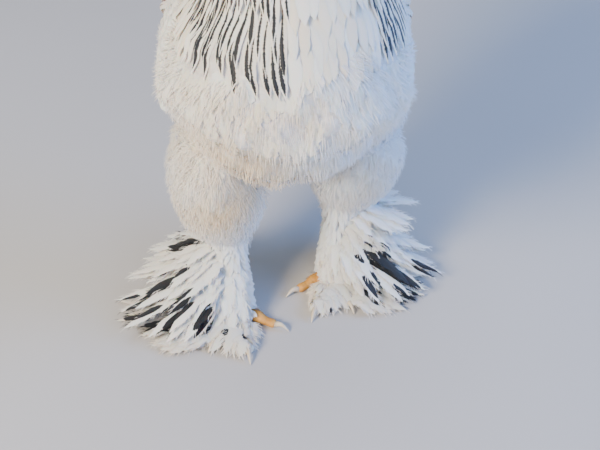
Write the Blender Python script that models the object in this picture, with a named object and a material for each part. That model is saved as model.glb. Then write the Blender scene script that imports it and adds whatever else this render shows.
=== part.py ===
"""A light Brahma cock standing still, life size, in metres.

The bird faces -Y, its left side is +X and the floor is z = 0. Each part of the body is one closed
object. Plumage that shows from a step away (neck hackle, saddle, wing and tail feathers, foot feathers)
is fused to the part that it grows from, and touching parts keep a gap of 0.3 mm.
"""

import math
import random

import bmesh
import bpy
import numpy as np
from mathutils import Matrix, Quaternion, Vector
from mathutils.bvhtree import BVHTree

GAP = 0.0003
INFLATE = 0.0003
FLAT_ANGLE = math.radians(0.3)
RNG = random.Random(11)

# Where the bird's own middle stands from the centre of its bounding box, in x and y.
SHIFT = (0.0130, -0.0947)

# Torso, front to back: y, back line z, belly line z, widest level z, half width.
TORSO = [
    (-0.172, 0.361, 0.359, 0.360, 0.001),
    (-0.166, 0.402, 0.318, 0.357, 0.046),
    (-0.148, 0.430, 0.275, 0.348, 0.078),
    (-0.118, 0.445, 0.242, 0.337, 0.101),
    (-0.078, 0.451, 0.220, 0.327, 0.114),
    (-0.028, 0.451, 0.205, 0.321, 0.120),
    (0.028, 0.446, 0.199, 0.319, 0.122),
    (0.082, 0.442, 0.200, 0.323, 0.120),
    (0.128, 0.447, 0.212, 0.332, 0.112),
    (0.166, 0.458, 0.235, 0.346, 0.096),
    (0.196, 0.463, 0.270, 0.364, 0.073),
    (0.215, 0.450, 0.318, 0.383, 0.044),
    (0.222, 0.396, 0.394, 0.395, 0.001),
]
TORSO_SIDES = 20
TORSO_RINGS = 17

# Outer surface of the neck plumage, top to bottom: centre x, y, z, reach to the front, side and back,
# and how far the front of the ring sits below its centre (the back sits as far above).
CAPE = [
    (0.016, -0.080, 0.616, 0.021, 0.024, 0.029, 0.000),
    (0.015, -0.078, 0.582, 0.031, 0.034, 0.042, 0.002),
    (0.014, -0.074, 0.543, 0.042, 0.046, 0.056, 0.006),
    (0.013, -0.069, 0.502, 0.056, 0.061, 0.070, 0.014),
    (0.012, -0.062, 0.462, 0.073, 0.079, 0.086, 0.024),
    (0.010, -0.056, 0.424, 0.093, 0.099, 0.108, 0.034),
    (0.006, -0.050, 0.392, 0.113, 0.118, 0.130, 0.040),
]
NECK_TURN = math.radians(25)

# Head, in its own frame: origin in the skull, beak towards -Y.
HEAD_AT = (0.022, -0.092, 0.632)
HEAD_TURN = math.radians(32)
SKULL = [
    (-0.036, 0.001, 0.0010, 0.0010, 0.0010),
    (-0.033, 0.001, 0.0095, 0.0100, 0.0100),
    (-0.026, 0.001, 0.0142, 0.0150, 0.0140),
    (-0.014, 0.002, 0.0185, 0.0200, 0.0180),
    (0.000, 0.002, 0.0205, 0.0225, 0.0205),
    (0.014, 0.000, 0.0205, 0.0225, 0.0220),
    (0.026, -0.004, 0.0175, 0.0190, 0.0200),
    (0.034, -0.008, 0.0100, 0.0110, 0.0120),
    (0.037, -0.009, 0.0010, 0.0010, 0.0010),
]
EYE_AT = (0.0140, -0.0110, 0.0050)
EYE_RADIUS = 0.0066
BEAK_UPPER = [
    (-0.020, 0.0010, 0.0115, 0.0115, 0.0045),
    (-0.030, 0.0000, 0.0096, 0.0105, 0.0042),
    (-0.038, -0.0020, 0.0079, 0.0090, 0.0038),
    (-0.046, -0.0048, 0.0060, 0.0070, 0.0034),
    (-0.053, -0.0085, 0.0038, 0.0046, 0.0032),
    (-0.0575, -0.0120, 0.0014, 0.0018, 0.0020),
    (-0.0582, -0.0134, 0.0003, 0.0003, 0.0003),
]
BEAK_LOWER = [
    (-0.018, -0.0085, 0.0098, 0.0048, 0.0052),
    (-0.030, -0.0086, 0.0080, 0.0046, 0.0048),
    (-0.040, -0.0100, 0.0058, 0.0038, 0.0040),
    (-0.048, -0.0120, 0.0034, 0.0032, 0.0026),
    (-0.0525, -0.0128, 0.0004, 0.0006, 0.0004),
]

# Details of the head, in its own frame.
BROW = [(0.0165, -0.020, 0.0105), (0.0180, -0.013, 0.0128), (0.0182, -0.005, 0.0125), (0.0178, 0.003, 0.0100)]
BROW_RADII = (0.0012, 0.0022, 0.0022, 0.0012)
MOUTH_AT = (0.0150, -0.0235, -0.0068)
MOUTH_RADII = (0.0050, 0.0075, 0.0006)
NOSTRIL_AT = (0.0074, -0.0405, 0.0010)
NOSTRIL_RADII = (0.0022, 0.0030, 0.0012)
# Pea comb: y of its ends, half width, height of the middle and side rows, points in a row.
COMB_FRONT = -0.0330
COMB_BACK = 0.0120
COMB_HALF = 0.0098
COMB_RIDGE = (0.0100, 0.0066)
COMB_POINTS = 5
COMB_RINGS = 16
WATTLE_TOP = (0.0075, -0.0190, -0.0110)
WATTLE_DROP = 0.032
WATTLE_HALF = 0.0105
WATTLE_THICK = 0.0036
WATTLE_FOLD = 0.0007
LOBE_AT = (0.0195, 0.0060, -0.0150)
LOBE_RADII = (0.0038, 0.0080, 0.0150)

TOE_RINGS = 7
TOE_JOINTS = 2.5
TOE_SIDES = 8
CLAW_RINGS = 5
CLAW_SIDES = 6
CLAW_STOUT = 0.72
TAIL_CURL = (0.004, 0.030, 0.085)
TAIL_LAYERS = (0.0010, 0.0112, 0.0180)
TAIL_STEP = 0.0016
TAIL_TENT = 0.62
TAIL_FIRST = 0.06
TAIL_SHAPES = ((0.2, 0.85, 1.0, 0.45), (0.2, 0.9, 1.0, 0.4), (0.2, 1.0, 0.95, 0.22))

# Legs. A thigh is x, y, z, side reach and fore-and-aft reach, from the body down to the hock.
THIGH = {
    "right": [
        (-0.060, 0.034, 0.310, 0.040, 0.076),
        (-0.064, 0.032, 0.278, 0.054, 0.094),
        (-0.068, 0.026, 0.240, 0.058, 0.094),
        (-0.071, 0.017, 0.202, 0.058, 0.082),
        (-0.073, 0.011, 0.168, 0.055, 0.068),
        (-0.073, 0.010, 0.138, 0.049, 0.056),
        (-0.072, 0.012, 0.112, 0.040, 0.044),
        (-0.071, 0.013, 0.096, 0.027, 0.029),
    ],
    "left": [
        (0.060, 0.048, 0.310, 0.040, 0.076),
        (0.064, 0.050, 0.278, 0.054, 0.092),
        (0.068, 0.051, 0.240, 0.058, 0.091),
        (0.073, 0.055, 0.202, 0.059, 0.080),
        (0.075, 0.062, 0.168, 0.056, 0.067),
        (0.075, 0.069, 0.138, 0.050, 0.055),
        (0.072, 0.074, 0.112, 0.041, 0.043),
        (0.070, 0.075, 0.096, 0.028, 0.029),
    ],
}
SIDE = {"right": -1, "left": 1}
HOCK = {"right": (-0.070, 0.012, 0.104), "left": (0.068, 0.074, 0.104)}
PAD = {"right": (-0.0545, -0.0240), "left": (0.0505, 0.0450)}
TOE_IN = {"right": math.radians(10), "left": math.radians(15)}
SHANK_RADIUS = (0.027, 0.020, 0.018, 0.019)
# Toe: length, root radius, claw length. Its direction in degrees is from straight ahead to the outside.
TOES = {
    "inner": (0.048, 0.0078, 0.017),
    "middle": (0.067, 0.0085, 0.020),
    "outer": (0.057, 0.0078, 0.017),
    "hind": (0.034, 0.0068, 0.015),
}
TOE_WAYS = {
    "right": {"inner": -52, "middle": 0, "outer": 36, "hind": -158},
    "left": {"inner": -38, "middle": 0, "outer": 36, "hind": -158},
}

# Saddle rows: y of the roots, locks on each side, first and last place around in degrees, length.
SADDLE_ROWS = [
    (0.158, 2, 44, 64, 0.050),
    (0.122, 4, 12, 70, 0.064),
    (0.084, 4, 9, 64, 0.072),
]
SADDLE_FALL = 26

# Wing core and its tiers: count, y and place around at the first and last feather, length, half width, lift.
WING_Y = -0.012
WING_LENGTH = 0.094
WING_AROUND = 76
WING_SPAN = 27
WING_DEPTH = 0.0040
WING_TOP = 0.0085
WING_DROP = 5
WING_RINGS = 11
WING_TIERS = [
    (3, 0.045, 0.058, 97, 88, 0.100, 0.0095, 0.0000),
    (6, 0.022, 0.048, 98, 60, 0.088, 0.0120, 0.0024),
    (5, -0.014, 0.008, 97, 58, 0.060, 0.0140, 0.0050),
    (4, -0.052, -0.036, 94, 60, 0.052, 0.0155, 0.0076),
]
LAYER = 0.0032
ROLL = math.radians(6)

# Hackle rows: place down the cape of the roots and of the tips, locks, half width.
CORE_SHARE = 0.88
HACKLE_GAP = 24
HACKLE_ROWS = [
    (0.56, 1.00, 14, 0.0150),
    (0.38, 0.93, 12, 0.0140),
    (0.20, 0.72, 10, 0.0120),
    (0.03, 0.44, 8, 0.0090),
]

# Tail: feathers on each side, spread of the fan, length, half width; then the curved sickles over them.
TAIL_ROOT = (0.0, 0.186, 0.438)
TAIL_RISE = math.radians(66)
TAIL_FEATHERS = (6, math.radians(50), 0.150, 0.0200)
TAIL_SICKLES = (3, math.radians(40), 0.185, 0.0135)
TAIL_COVERTS = (4, math.radians(58), 0.100, 0.0180)

# Shank plumage, on the outer side, in tiers: height of the roots, feathers, first and last direction in
# degrees from straight ahead towards the outside, reach from the shank, height of the tips, half width.
SHANK_TIERS = [
    (0.078, 4, 66, 148, 0.086, 0.074, 0.0120),
    (0.059, 5, 58, 146, 0.098, 0.040, 0.0135),
    (0.040, 5, 64, 134, 0.122, 0.019, 0.0135),
]
# Toe plumage: toe, share of the way along it, direction, length, half width, height of the arch.
TOE_VANES = [
    ("outer", 0.08, 103, 0.120, 0.0125, 0.006),
    ("outer", 0.30, 101, 0.126, 0.0125, 0.006),
    ("outer", 0.52, 94, 0.101, 0.0125, 0.006),
    ("outer", 0.72, 90, 0.070, 0.0115, 0.006),
    ("outer", 0.88, 80, 0.043, 0.0100, 0.005),
    ("middle", 0.30, 58, 0.054, 0.0110, 0.016),
    ("middle", 0.52, 40, 0.046, 0.0100, 0.012),
    ("middle", 0.72, 20, 0.032, 0.0080, 0.007),
    ("middle", 0.40, -26, 0.030, 0.0075, 0.006),
]
STAGGER = 0.0020
FAN_REACH = {"right": 1.14, "left": 1.00}

COLOURS = {
    "white_plumage": ((0.86, 0.84, 0.79), 0.75),
    "black_plumage": ((0.025, 0.032, 0.030), 0.45),
    "red_skin": ((0.55, 0.045, 0.035), 0.55),
    "beak_horn": ((0.72, 0.50, 0.18), 0.40),
    "toe_scales": ((0.75, 0.45, 0.12), 0.50),
    "claw_horn": ((0.80, 0.72, 0.58), 0.35),
    "eye": ((0.50, 0.14, 0.02), 0.10),
}


def clear_scene():
    for thing in list(bpy.data.objects):
        bpy.data.objects.remove(thing, do_unlink=True)


def new_collection(name, rendered=True):
    made = bpy.data.collections.new(name)
    bpy.context.scene.collection.children.link(made)
    made.hide_render = not rendered
    return made


def material(name):
    """One Principled finish for each kind of surface."""
    made = bpy.data.materials.get(name)
    if made is None:
        colour, roughness = COLOURS[name]
        made = bpy.data.materials.new(name)
        made.use_nodes = True
        shader = made.node_tree.nodes["Principled BSDF"]
        shader.inputs["Base Color"].default_value = (*colour, 1.0)
        shader.inputs["Roughness"].default_value = roughness
        shader.inputs["Metallic"].default_value = 0.0
    return made


def spline(rows, t):
    """A row of a size table, smoothly interpolated: t is 0 at the first row and 1 at the last."""
    rows = np.asarray(rows, float)
    place = min(max(t, 0.0), 1.0) * (len(rows) - 1)
    i = min(int(place), len(rows) - 2)
    f = place - i
    before, here = rows[max(i - 1, 0)], rows[i]
    after, beyond = rows[i + 1], rows[min(i + 2, len(rows) - 1)]
    square = 2 * before - 5 * here + 4 * after - beyond
    cube = 3 * here - before - 3 * after + beyond
    return 0.5 * (2 * here + (after - before) * f + square * f**2 + cube * f**3)


def link(name, mesh, home):
    made = bpy.data.objects.new(name, mesh)
    home.objects.link(made)
    return made


def loft(name, rings, home):
    """A closed skin over rings of points, each end closed to the ring's own middle."""
    count = len(rings[0])
    points = [tuple(p) for ring in rings for p in ring]
    points.append(tuple(np.mean(rings[0], axis=0)))
    points.append(tuple(np.mean(rings[-1], axis=0)))
    faces = []
    for r in range(len(rings) - 1):
        for k in range(count):
            a, b = r * count + k, r * count + (k + 1) % count
            faces.append((a, b, b + count))
            faces.append((a, b + count, a + count))
    last = (len(rings) - 1) * count
    for k in range(count):
        after = (k + 1) % count
        faces.append((len(points) - 2, after, k))
        faces.append((len(points) - 1, last + k, last + after))
    mesh = bpy.data.meshes.new(name)
    mesh.from_pydata(points, [], faces)
    face_out(mesh)
    return link(name, mesh, home)


def face_out(mesh):
    work = bmesh.new()
    work.from_mesh(mesh)
    bmesh.ops.recalc_face_normals(work, faces=work.faces)
    if work.calc_volume(signed=True) < 0:
        bmesh.ops.reverse_faces(work, faces=work.faces)
    work.to_mesh(mesh)
    work.free()


def egg_ring(y, centre_z, half_width, rise, drop, sides, x=0.0):
    """Points round an upright egg section at one y."""
    ring = []
    for k in range(sides):
        a = 2 * math.pi * k / sides
        reach = rise if math.cos(a) > 0 else drop
        ring.append((x + half_width * math.sin(a), y, centre_z + reach * math.cos(a)))
    return ring


def flat_ring(x, y, z, side_reach, long_reach, sides):
    """Points round a level oval section."""
    turn = 2 * math.pi / sides
    return [
        (x + side_reach * math.sin(turn * k), y - long_reach * math.cos(turn * k), z)
        for k in range(sides)
    ]


def ball(name, at, radii, home, cuts=2):
    """An icosphere stretched to three radii."""
    mesh = bpy.data.meshes.new(name)
    work = bmesh.new()
    bmesh.ops.create_icosphere(work, subdivisions=cuts, radius=1.0)
    bmesh.ops.scale(work, vec=radii, verts=work.verts)
    bmesh.ops.translate(work, vec=at, verts=work.verts)
    work.to_mesh(mesh)
    work.free()
    return link(name, mesh, home)


def inflated(thing, amount=INFLATE):
    """A hidden cutter: a copy of a part grown outwards by about the gap."""
    cutter = link("cutter_" + thing.name, thing.data.copy(), CUTTERS)
    cutter.hide_render = True
    cutter.display_type = "WIRE"
    work = bmesh.new()
    work.from_mesh(cutter.data)
    work.normal_update()
    moved = [v.co + v.normal * (amount * min(v.calc_shell_factor(), 3.0)) for v in work.verts]
    for v, place in zip(work.verts, moved):
        v.co = place
    work.to_mesh(cutter.data)
    work.free()
    return cutter


def plain_guide(thing):
    """A hidden copy of a part as it is before anything is cut from it."""
    guide = link("guide_" + thing.name, thing.data.copy(), CUTTERS)
    guide.hide_render = True
    guide.display_type = "WIRE"
    return guide


def boolean(thing, operation, other):
    """Joins or cuts a mesh with an object or a whole collection, and applies it."""
    step = thing.modifiers.new(operation, "BOOLEAN")
    step.operation = operation
    step.solver = "MANIFOLD"
    if isinstance(other, bpy.types.Collection):
        step.operand_type = "COLLECTION"
        step.collection = other
    else:
        step.object = other
    bpy.context.view_layer.update()
    graph = bpy.context.evaluated_depsgraph_get()
    result = bpy.data.meshes.new_from_object(thing.evaluated_get(graph))
    thing.modifiers.clear()
    old = thing.data
    thing.data = result
    bpy.data.meshes.remove(old)


def keep_largest(thing):
    """Drops loose scraps and sealed hollows: only the closed surface of largest volume stays."""
    work = bmesh.new()
    work.from_mesh(thing.data)
    left = set(work.faces)
    shells = []
    while left:
        stack = [left.pop()]
        shell = []
        while stack:
            face = stack.pop()
            shell.append(face)
            for edge in face.edges:
                for near in edge.link_faces:
                    if near in left:
                        left.remove(near)
                        stack.append(near)
        shells.append(shell)
    largest = max(shells, key=shell_volume)
    for shell in shells:
        if shell is not largest:
            bmesh.ops.delete(work, geom=shell, context="FACES")
    loose = [v for v in work.verts if not v.link_faces]
    bmesh.ops.delete(work, geom=loose, context="VERTS")
    # Faces that lie in one plane are merged and split afresh, which takes out what the joins left over.
    bmesh.ops.dissolve_limit(work, angle_limit=FLAT_ANGLE, verts=work.verts, edges=work.edges)
    bmesh.ops.triangulate(work, faces=work.faces)
    work.to_mesh(thing.data)
    work.free()


def shell_volume(shell):
    """Signed volume inside a closed set of faces."""
    total = 0.0
    for face in shell:
        first = face.verts[0].co
        for k in range(1, len(face.verts) - 1):
            total += first.dot(face.verts[k].co.cross(face.verts[k + 1].co)) / 6
    return total


def cut_clear(thing, *others):
    """Cuts a part back so that it keeps the gap to each of the others."""
    for other in others:
        cutter = inflated(other)
        boolean(thing, "DIFFERENCE", cutter)
        bpy.data.objects.remove(cutter)
    keep_largest(thing)


def fuse(core, pieces, clear_of=()):
    """Joins pieces to their core. They are first joined to one another and cut clear of their neighbours."""
    if not pieces:
        return
    first, rest = pieces[0], pieces[1:]
    group = new_collection("pieces", rendered=False)
    for piece in rest:
        group.objects.link(piece)
    if rest:
        boolean(first, "UNION", group)
    for other in clear_of:
        cutter = inflated(other)
        boolean(first, "DIFFERENCE", cutter)
        bpy.data.objects.remove(cutter)
    boolean(core, "UNION", first)
    for piece in pieces:
        bpy.data.objects.remove(piece)
    bpy.data.collections.remove(group)
    keep_largest(core)


def finish(thing, finish_name, smooth_angle=math.radians(40)):
    thing.data.materials.clear()
    thing.data.materials.append(material(finish_name))
    thing.data.shade_smooth()
    thing.data.set_sharp_from_angle(angle=smooth_angle)
    return thing


def tree_of(*things):
    """A search tree over the surfaces of some parts, for keeping feathers clear of them."""
    points, faces = [], []
    for thing in things:
        base = len(points)
        points.extend(thing.matrix_world @ v.co for v in thing.data.vertices)
        faces.extend([base + i for i in f.vertices] for f in thing.data.polygons)
    return BVHTree.FromPolygons(points, faces)


def pushed_out(point, tree, clearance):
    """The point, moved out along the nearest surface's normal until it is clear of it."""
    place, normal, _, _ = tree.find_nearest(point)
    if (point - place).dot(normal) < clearance:
        return place + normal * clearance
    return point


# Torso and what is draped over it.
class Skin:
    """A surface of two values, with a point and an outward direction anywhere on it."""

    def __init__(self, point, outward, step_u, step_v):
        self.point = point
        self.outward = outward
        self.step_u = step_u
        self.step_v = step_v

    def at(self, u, v, height=0.0):
        along = self.point(u + self.step_u, v) - self.point(u - self.step_u, v)
        across = self.point(u, v + self.step_v) - self.point(u, v - self.step_v)
        out = along.cross(across).normalized() * self.outward
        return self.point(u, v) + out * height, out


def torso_row(y):
    ys = [row[0] for row in TORSO]
    t = float(np.interp(y, ys, np.linspace(0, 1, len(ys))))
    return spline(TORSO, t)


def torso_base(y, around):
    """A point on the torso: around is 0 on the back line and a half turn at the belly, positive to +X."""
    _, top, bottom, widest, half = torso_row(y)
    c, s = math.cos(around), math.sin(around)
    reach = top - widest if c > 0 else widest - bottom
    return Vector((half * s, y, widest + reach * c))


def cape_base(t, around, share=1.0):
    """A point on the neck plumage: around is 0 at the front of the turned neck, positive to +X."""
    x, y, z, front, side, back, dip = spline(CAPE, t)
    turned = around + NECK_TURN
    c, s = math.cos(turned), math.sin(turned)
    reach = front if c > 0 else back
    return Vector((x + side * share * s, y - reach * share * c, z - dip * c))


TORSO_SKIN = Skin(torso_base, -1, 0.004, 0.05)
CAPE_SKIN = Skin(cape_base, 1, 0.01, 0.05)


def vane(name, path, outs, halves, thick, ridge=0.0, cup=0.0, roll=0.0):
    """A closed strip along a path, split alike on both faces; a ridge adds the shaft, a cup curls it.

    A roll turns it about its own line, so that feathers side by side overlap like shingles.
    """
    columns = (-1.0, 0.0, 1.0) if ridge or cup else (-1.0, 1.0)
    across, stations = len(columns), len(path)
    points, faces = [], []
    for k in range(stations):
        along = (path[min(k + 1, stations - 1)] - path[max(k - 1, 0)]).normalized()
        side = along.cross(outs[k]).normalized()
        side.rotate(Quaternion(along, roll))
        up = side.cross(along)
        for face in (1, -1):
            for c in columns:
                lift = face * thick / 2 - cup * halves[k] * c * c
                if face > 0:
                    lift += ridge * (1 - abs(c))
                points.append(path[k] + side * (halves[k] * c) + up * lift)

    def at(k, face, j):
        return (k * 2 + face) * across + j

    for k in range(stations - 1):
        for face in (0, 1):
            for j in range(across - 1):
                a, b = at(k, face, j), at(k, face, j + 1)
                c, d = at(k + 1, face, j + 1), at(k + 1, face, j)
                faces += [(a, b, c), (a, c, d)]
        for j in (0, across - 1):
            a, b = at(k, 0, j), at(k + 1, 0, j)
            c, d = at(k + 1, 1, j), at(k, 1, j)
            faces += [(a, b, c), (a, c, d)]
    for k in (0, stations - 1):
        for j in range(across - 1):
            a, b = at(k, 0, j), at(k, 0, j + 1)
            c, d = at(k, 1, j + 1), at(k, 1, j)
            faces += [(a, b, c), (a, c, d)]
    mesh = bpy.data.meshes.new(name)
    mesh.from_pydata([tuple(p) for p in points], [], faces)
    face_out(mesh)
    return link(name, mesh, PIECES)


def laid(skin, start, end, shares, heights, keep_off=None, clearance=0.0):
    """A path over a skin from start to end, at a height for each share of the way, clear of neighbours."""
    path, outs = [], []
    for share, height in zip(shares, heights):
        u = start[0] + (end[0] - start[0]) * share
        v = start[1] + (end[1] - start[1]) * share
        point, out = skin.at(u, v, height)
        if keep_off and share > 0.3:
            point = pushed_out(point, keep_off, clearance + max(height, 0.0))
        path.append(point)
        outs.append(out)
    return path, outs


def make_torso():
    first, last = TORSO[0][0], TORSO[-1][0]
    rings = []
    for k in range(TORSO_RINGS):
        # Rings sit closer together where the breast and the stern curve in.
        y = first + (last - first) * (1 - math.cos(math.pi * k / (TORSO_RINGS - 1))) / 2
        turn = 2 * math.pi / TORSO_SIDES
        rings.append([torso_base(y, turn * i) for i in range(TORSO_SIDES)])
    return loft("torso", rings, BIRD)


def make_saddle(torso, wings, tail):
    """Narrow saddle hackles, in rows that fall from the back over the flanks and the wing ends."""
    tree = tree_of(torso, *wings)
    shares = (0.0, 0.25, 0.66, 1.0)
    pieces = []
    for row, (y, count, inner, outer, length) in enumerate(SADDLE_ROWS):
        for k in range(2 * count):
            sign = 1 if k % 2 else -1
            place = inner + (outer - inner) * (k // 2) / (count - 1)
            around = sign * math.radians(place) + RNG.uniform(-0.03, 0.03)
            fall = math.radians(SADDLE_FALL) * math.sin(around)
            reach = length * RNG.uniform(0.92, 1.08)
            layer = 0.0036 + 0.5 * LAYER * (k // 2 % 2)
            heights = (-0.004, layer, *(layer + LAYER * step * min(row, 2) for step in (0.6, 1.0)))
            path, outs = laid(TORSO_SKIN, (y, around), (y + reach, around + fall), shares, heights,
                              tree, 0.0012)
            halves = (0.004, 0.0120, 0.0125, 0.0010)
            pieces.append(vane("saddle_%d_%d" % (row, k), path, outs, halves, 0.0012))
    fuse(torso, pieces, [*wings, tail])


def make_wing(side, torso):
    """A folded wing on the flank: a low core with coverts, secondaries and primaries in tiers."""
    name = "wing_" + side
    sign = SIDE[side]
    rings = []
    for k in range(WING_RINGS):
        turn = math.pi * k / (WING_RINGS - 1)
        y = WING_Y + WING_LENGTH * -math.cos(turn)
        fat = max(math.sin(turn), 0.03)
        ring = []
        for i in range(12):
            a = 2 * math.pi * i / 12
            around = sign * (math.radians(WING_AROUND) + math.radians(WING_SPAN) * fat * math.cos(a))
            height = (WING_DEPTH * fat) * math.sin(a) - (0.004 if math.sin(a) < 0 else 0.0)
            ring.append(TORSO_SKIN.at(y, around, height)[0])
        rings.append(ring)
    core = loft(name, rings, BIRD)
    tree = tree_of(torso)
    pieces = []
    shares = (0.0, 0.25, 0.72, 1.0)
    for tier, (count, y0, y1, a0, a1, length, half, lift) in enumerate(WING_TIERS):
        for k in range(count):
            f = k / (count - 1)
            y = y0 + (y1 - y0) * f
            around = math.radians(a0 + (a1 - a0) * f)
            reach = length * RNG.uniform(0.95, 1.05)
            drop = math.radians(WING_DROP) * (reach / 0.1)
            top = WING_TOP + lift
            heights = (WING_DEPTH * 0.2, WING_TOP + lift * 0.4, top, top * 0.9)
            path, outs = laid(TORSO_SKIN, (y, sign * around), (y + reach, sign * (around + drop)),
                              shares, heights, tree, 0.0016)
            halves = (half * 0.35, half, half, half * 0.4)
            pieces.append(vane("%s_%d_%d" % (name, tier, k), path, outs, halves, 0.0012,
                               roll=ROLL * sign))
    fuse(core, pieces)
    cut_clear(core, torso)
    return core


def make_neck(head, face, torso, wings):
    """The neck with its hackle: long, narrow, pointed locks in tiers that drape over the shoulders."""
    sides = 20
    rings = []
    for k in range(11):
        t = k / 10
        share = CORE_SHARE - 0.14 * max(0.0, t - 0.6) / 0.4
        rings.append([cape_base(t, 2 * math.pi * i / sides, share) for i in range(sides)])
    core = loft("neck", rings, BIRD)
    tree = tree_of(torso, *wings)
    shares = (0.0, 0.22, 0.64, 1.0)
    pieces = []
    for row, (t0, t1, count, half) in enumerate(HACKLE_ROWS):
        for k in range(count):
            lean = HACKLE_GAP + (360 - 2 * HACKLE_GAP) * (k + 0.5 * (row % 2)) / (count - 0.5)
            around = math.radians(lean) + RNG.uniform(-0.04, 0.04)
            front = max(0.0, math.cos(around + NECK_TURN)) ** 2
            end = t1 - 0.16 * front * t1 + RNG.uniform(-0.02, 0.02)
            layer = 0.5 * LAYER * (k % 2)
            heights = [-(1 - CORE_SHARE) * spline(CAPE, t0)[4] - 0.003]
            for share in shares[1:]:
                under = [low[0] for low in HACKLE_ROWS[:row] if low[0] < t0 + (end - t0) * share]
                heights.append(layer + LAYER * len(under))
            path, outs = laid(CAPE_SKIN, (t0, around), (end, around), shares, heights, tree, 0.0022)
            halves = (half * 0.3, half * 0.85, half, 0.0010)
            pieces.append(vane("hackle_%d_%d" % (row, k), path, outs, halves, 0.0012))
    fuse(core, pieces)
    cut_clear(core, torso, *wings, head, *face)
    return core


# Head, made in its own frame and then set on the neck.
def head_frame():
    return Matrix.Translation(HEAD_AT) @ Matrix.Rotation(HEAD_TURN, 4, "Z")


def set_on_head(thing):
    thing.data.transform(head_frame())
    thing.data.update()
    return thing


def skull_rings(table, sides):
    return [egg_ring(y, z, half, rise, drop, sides) for y, z, half, rise, drop in table]


def mirrored(point, side):
    return (point[0] * SIDE[side], point[1], point[2])


def curve_tube(name, points, radii, home, sides=2):
    """A tapered tube along points, made a mesh with its ends welded shut."""
    curve = bpy.data.curves.new(name, "CURVE")
    curve.dimensions = "3D"
    curve.bevel_depth = 1.0
    curve.bevel_resolution = sides
    curve.use_fill_caps = True
    line = curve.splines.new("POLY")
    line.points.add(len(points) - 1)
    for at, place, radius in zip(line.points, points, radii):
        at.co = (*place, 1.0)
        at.radius = radius
    guide = bpy.data.objects.new(name + "_line", curve)
    home.objects.link(guide)
    graph = bpy.context.evaluated_depsgraph_get()
    mesh = bpy.data.meshes.new_from_object(guide.evaluated_get(graph))
    mesh.transform(guide.matrix_world)
    bpy.data.objects.remove(guide)
    work = bmesh.new()
    work.from_mesh(mesh)
    bmesh.ops.remove_doubles(work, verts=work.verts, dist=0.00001)
    work.to_mesh(mesh)
    work.free()
    mesh.name = name
    face_out(mesh)
    return link(name, mesh, home)


def make_eye(side):
    eye = ball("eye_" + side, mirrored(EYE_AT, side), (EYE_RADIUS,) * 3, BIRD, cuts=2)
    return set_on_head(eye)


def lid(side, upper):
    """Half a ring of skin round the eye, thicker above than below."""
    points, radii = [], []
    for k in range(7):
        a = math.pi * k / 6 * (1 if upper else -1)
        x, y, z = EYE_AT
        points.append(mirrored((x + 0.0036, y + 0.0068 * math.cos(a), z + 0.0062 * math.sin(a)), side))
        radii.append((0.0011 + 0.0008 * math.sin(math.pi * k / 6)) * (1.2 if upper else 1.0))
    return set_on_head(curve_tube("lid", points, radii, PIECES, 0))


def make_head(eyes):
    """Skull and face with brows, lids, the corner of the mouth and the sockets cut for the eyes."""
    core = set_on_head(loft("head", skull_rings(SKULL, 16), BIRD))
    skull = plain_guide(core)
    pieces = []
    for side in SIDE:
        brow = [mirrored(at, side) for at in BROW]
        pieces.append(set_on_head(curve_tube("brow", brow, BROW_RADII, PIECES, 0)))
        pieces += [lid(side, True), lid(side, False)]
    fuse(core, pieces)
    cut_clear(core, *eyes)
    for side in SIDE:
        slit = ball("slit", mirrored(MOUTH_AT, side), MOUTH_RADII, CUTTERS, cuts=1)
        boolean(core, "DIFFERENCE", set_on_head(slit))
        bpy.data.objects.remove(slit)
    keep_largest(core)
    return core, skull


def make_beak(head):
    upper = set_on_head(loft("beak_upper", skull_rings(BEAK_UPPER, 12), BIRD))
    cut_clear(upper, head)
    for side in SIDE:
        nostril = ball("nostril", mirrored(NOSTRIL_AT, side), NOSTRIL_RADII, CUTTERS, cuts=1)
        boolean(upper, "DIFFERENCE", set_on_head(nostril))
        bpy.data.objects.remove(nostril)
    lower = set_on_head(loft("beak_lower", skull_rings(BEAK_LOWER, 12), BIRD))
    chin = plain_guide(lower)
    cut_clear(lower, head, upper)
    return upper, lower, chin


def make_comb(skull, beak):
    """A pea comb: three low lengthwise ridges with rounded points, the middle one the highest."""
    rings = []
    for k in range(COMB_RINGS):
        f = k / (COMB_RINGS - 1)
        y = COMB_FRONT + (COMB_BACK - COMB_FRONT) * f
        swell = math.sin(math.pi * f) ** 0.6
        ground = 0.0135 + 0.0075 * math.sin(math.pi * min(f * 1.15, 1.0) * 0.55)
        tooth = 0.62 + 0.38 * math.cos(2 * math.pi * COMB_POINTS * f - math.pi)
        ring = [(0.6 * COMB_HALF * swell, y, ground - 0.006), (-0.6 * COMB_HALF * swell, y, ground - 0.006)]
        for i in range(9):
            across = i / 4 - 1
            ridge = COMB_RIDGE[0] if abs(across) < 0.3 else COMB_RIDGE[1]
            crest = 1.0 if i in (1, 4, 7) else 0.45
            rise = (ridge * tooth + 0.0025) * crest if 0 < i < 8 else 0.0
            ring.append((COMB_HALF * swell * across, y, ground + rise * swell))
        rings.append(ring)
    comb = set_on_head(loft("comb", rings, BIRD))
    cut_clear(comb, skull, beak)
    return comb


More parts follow.
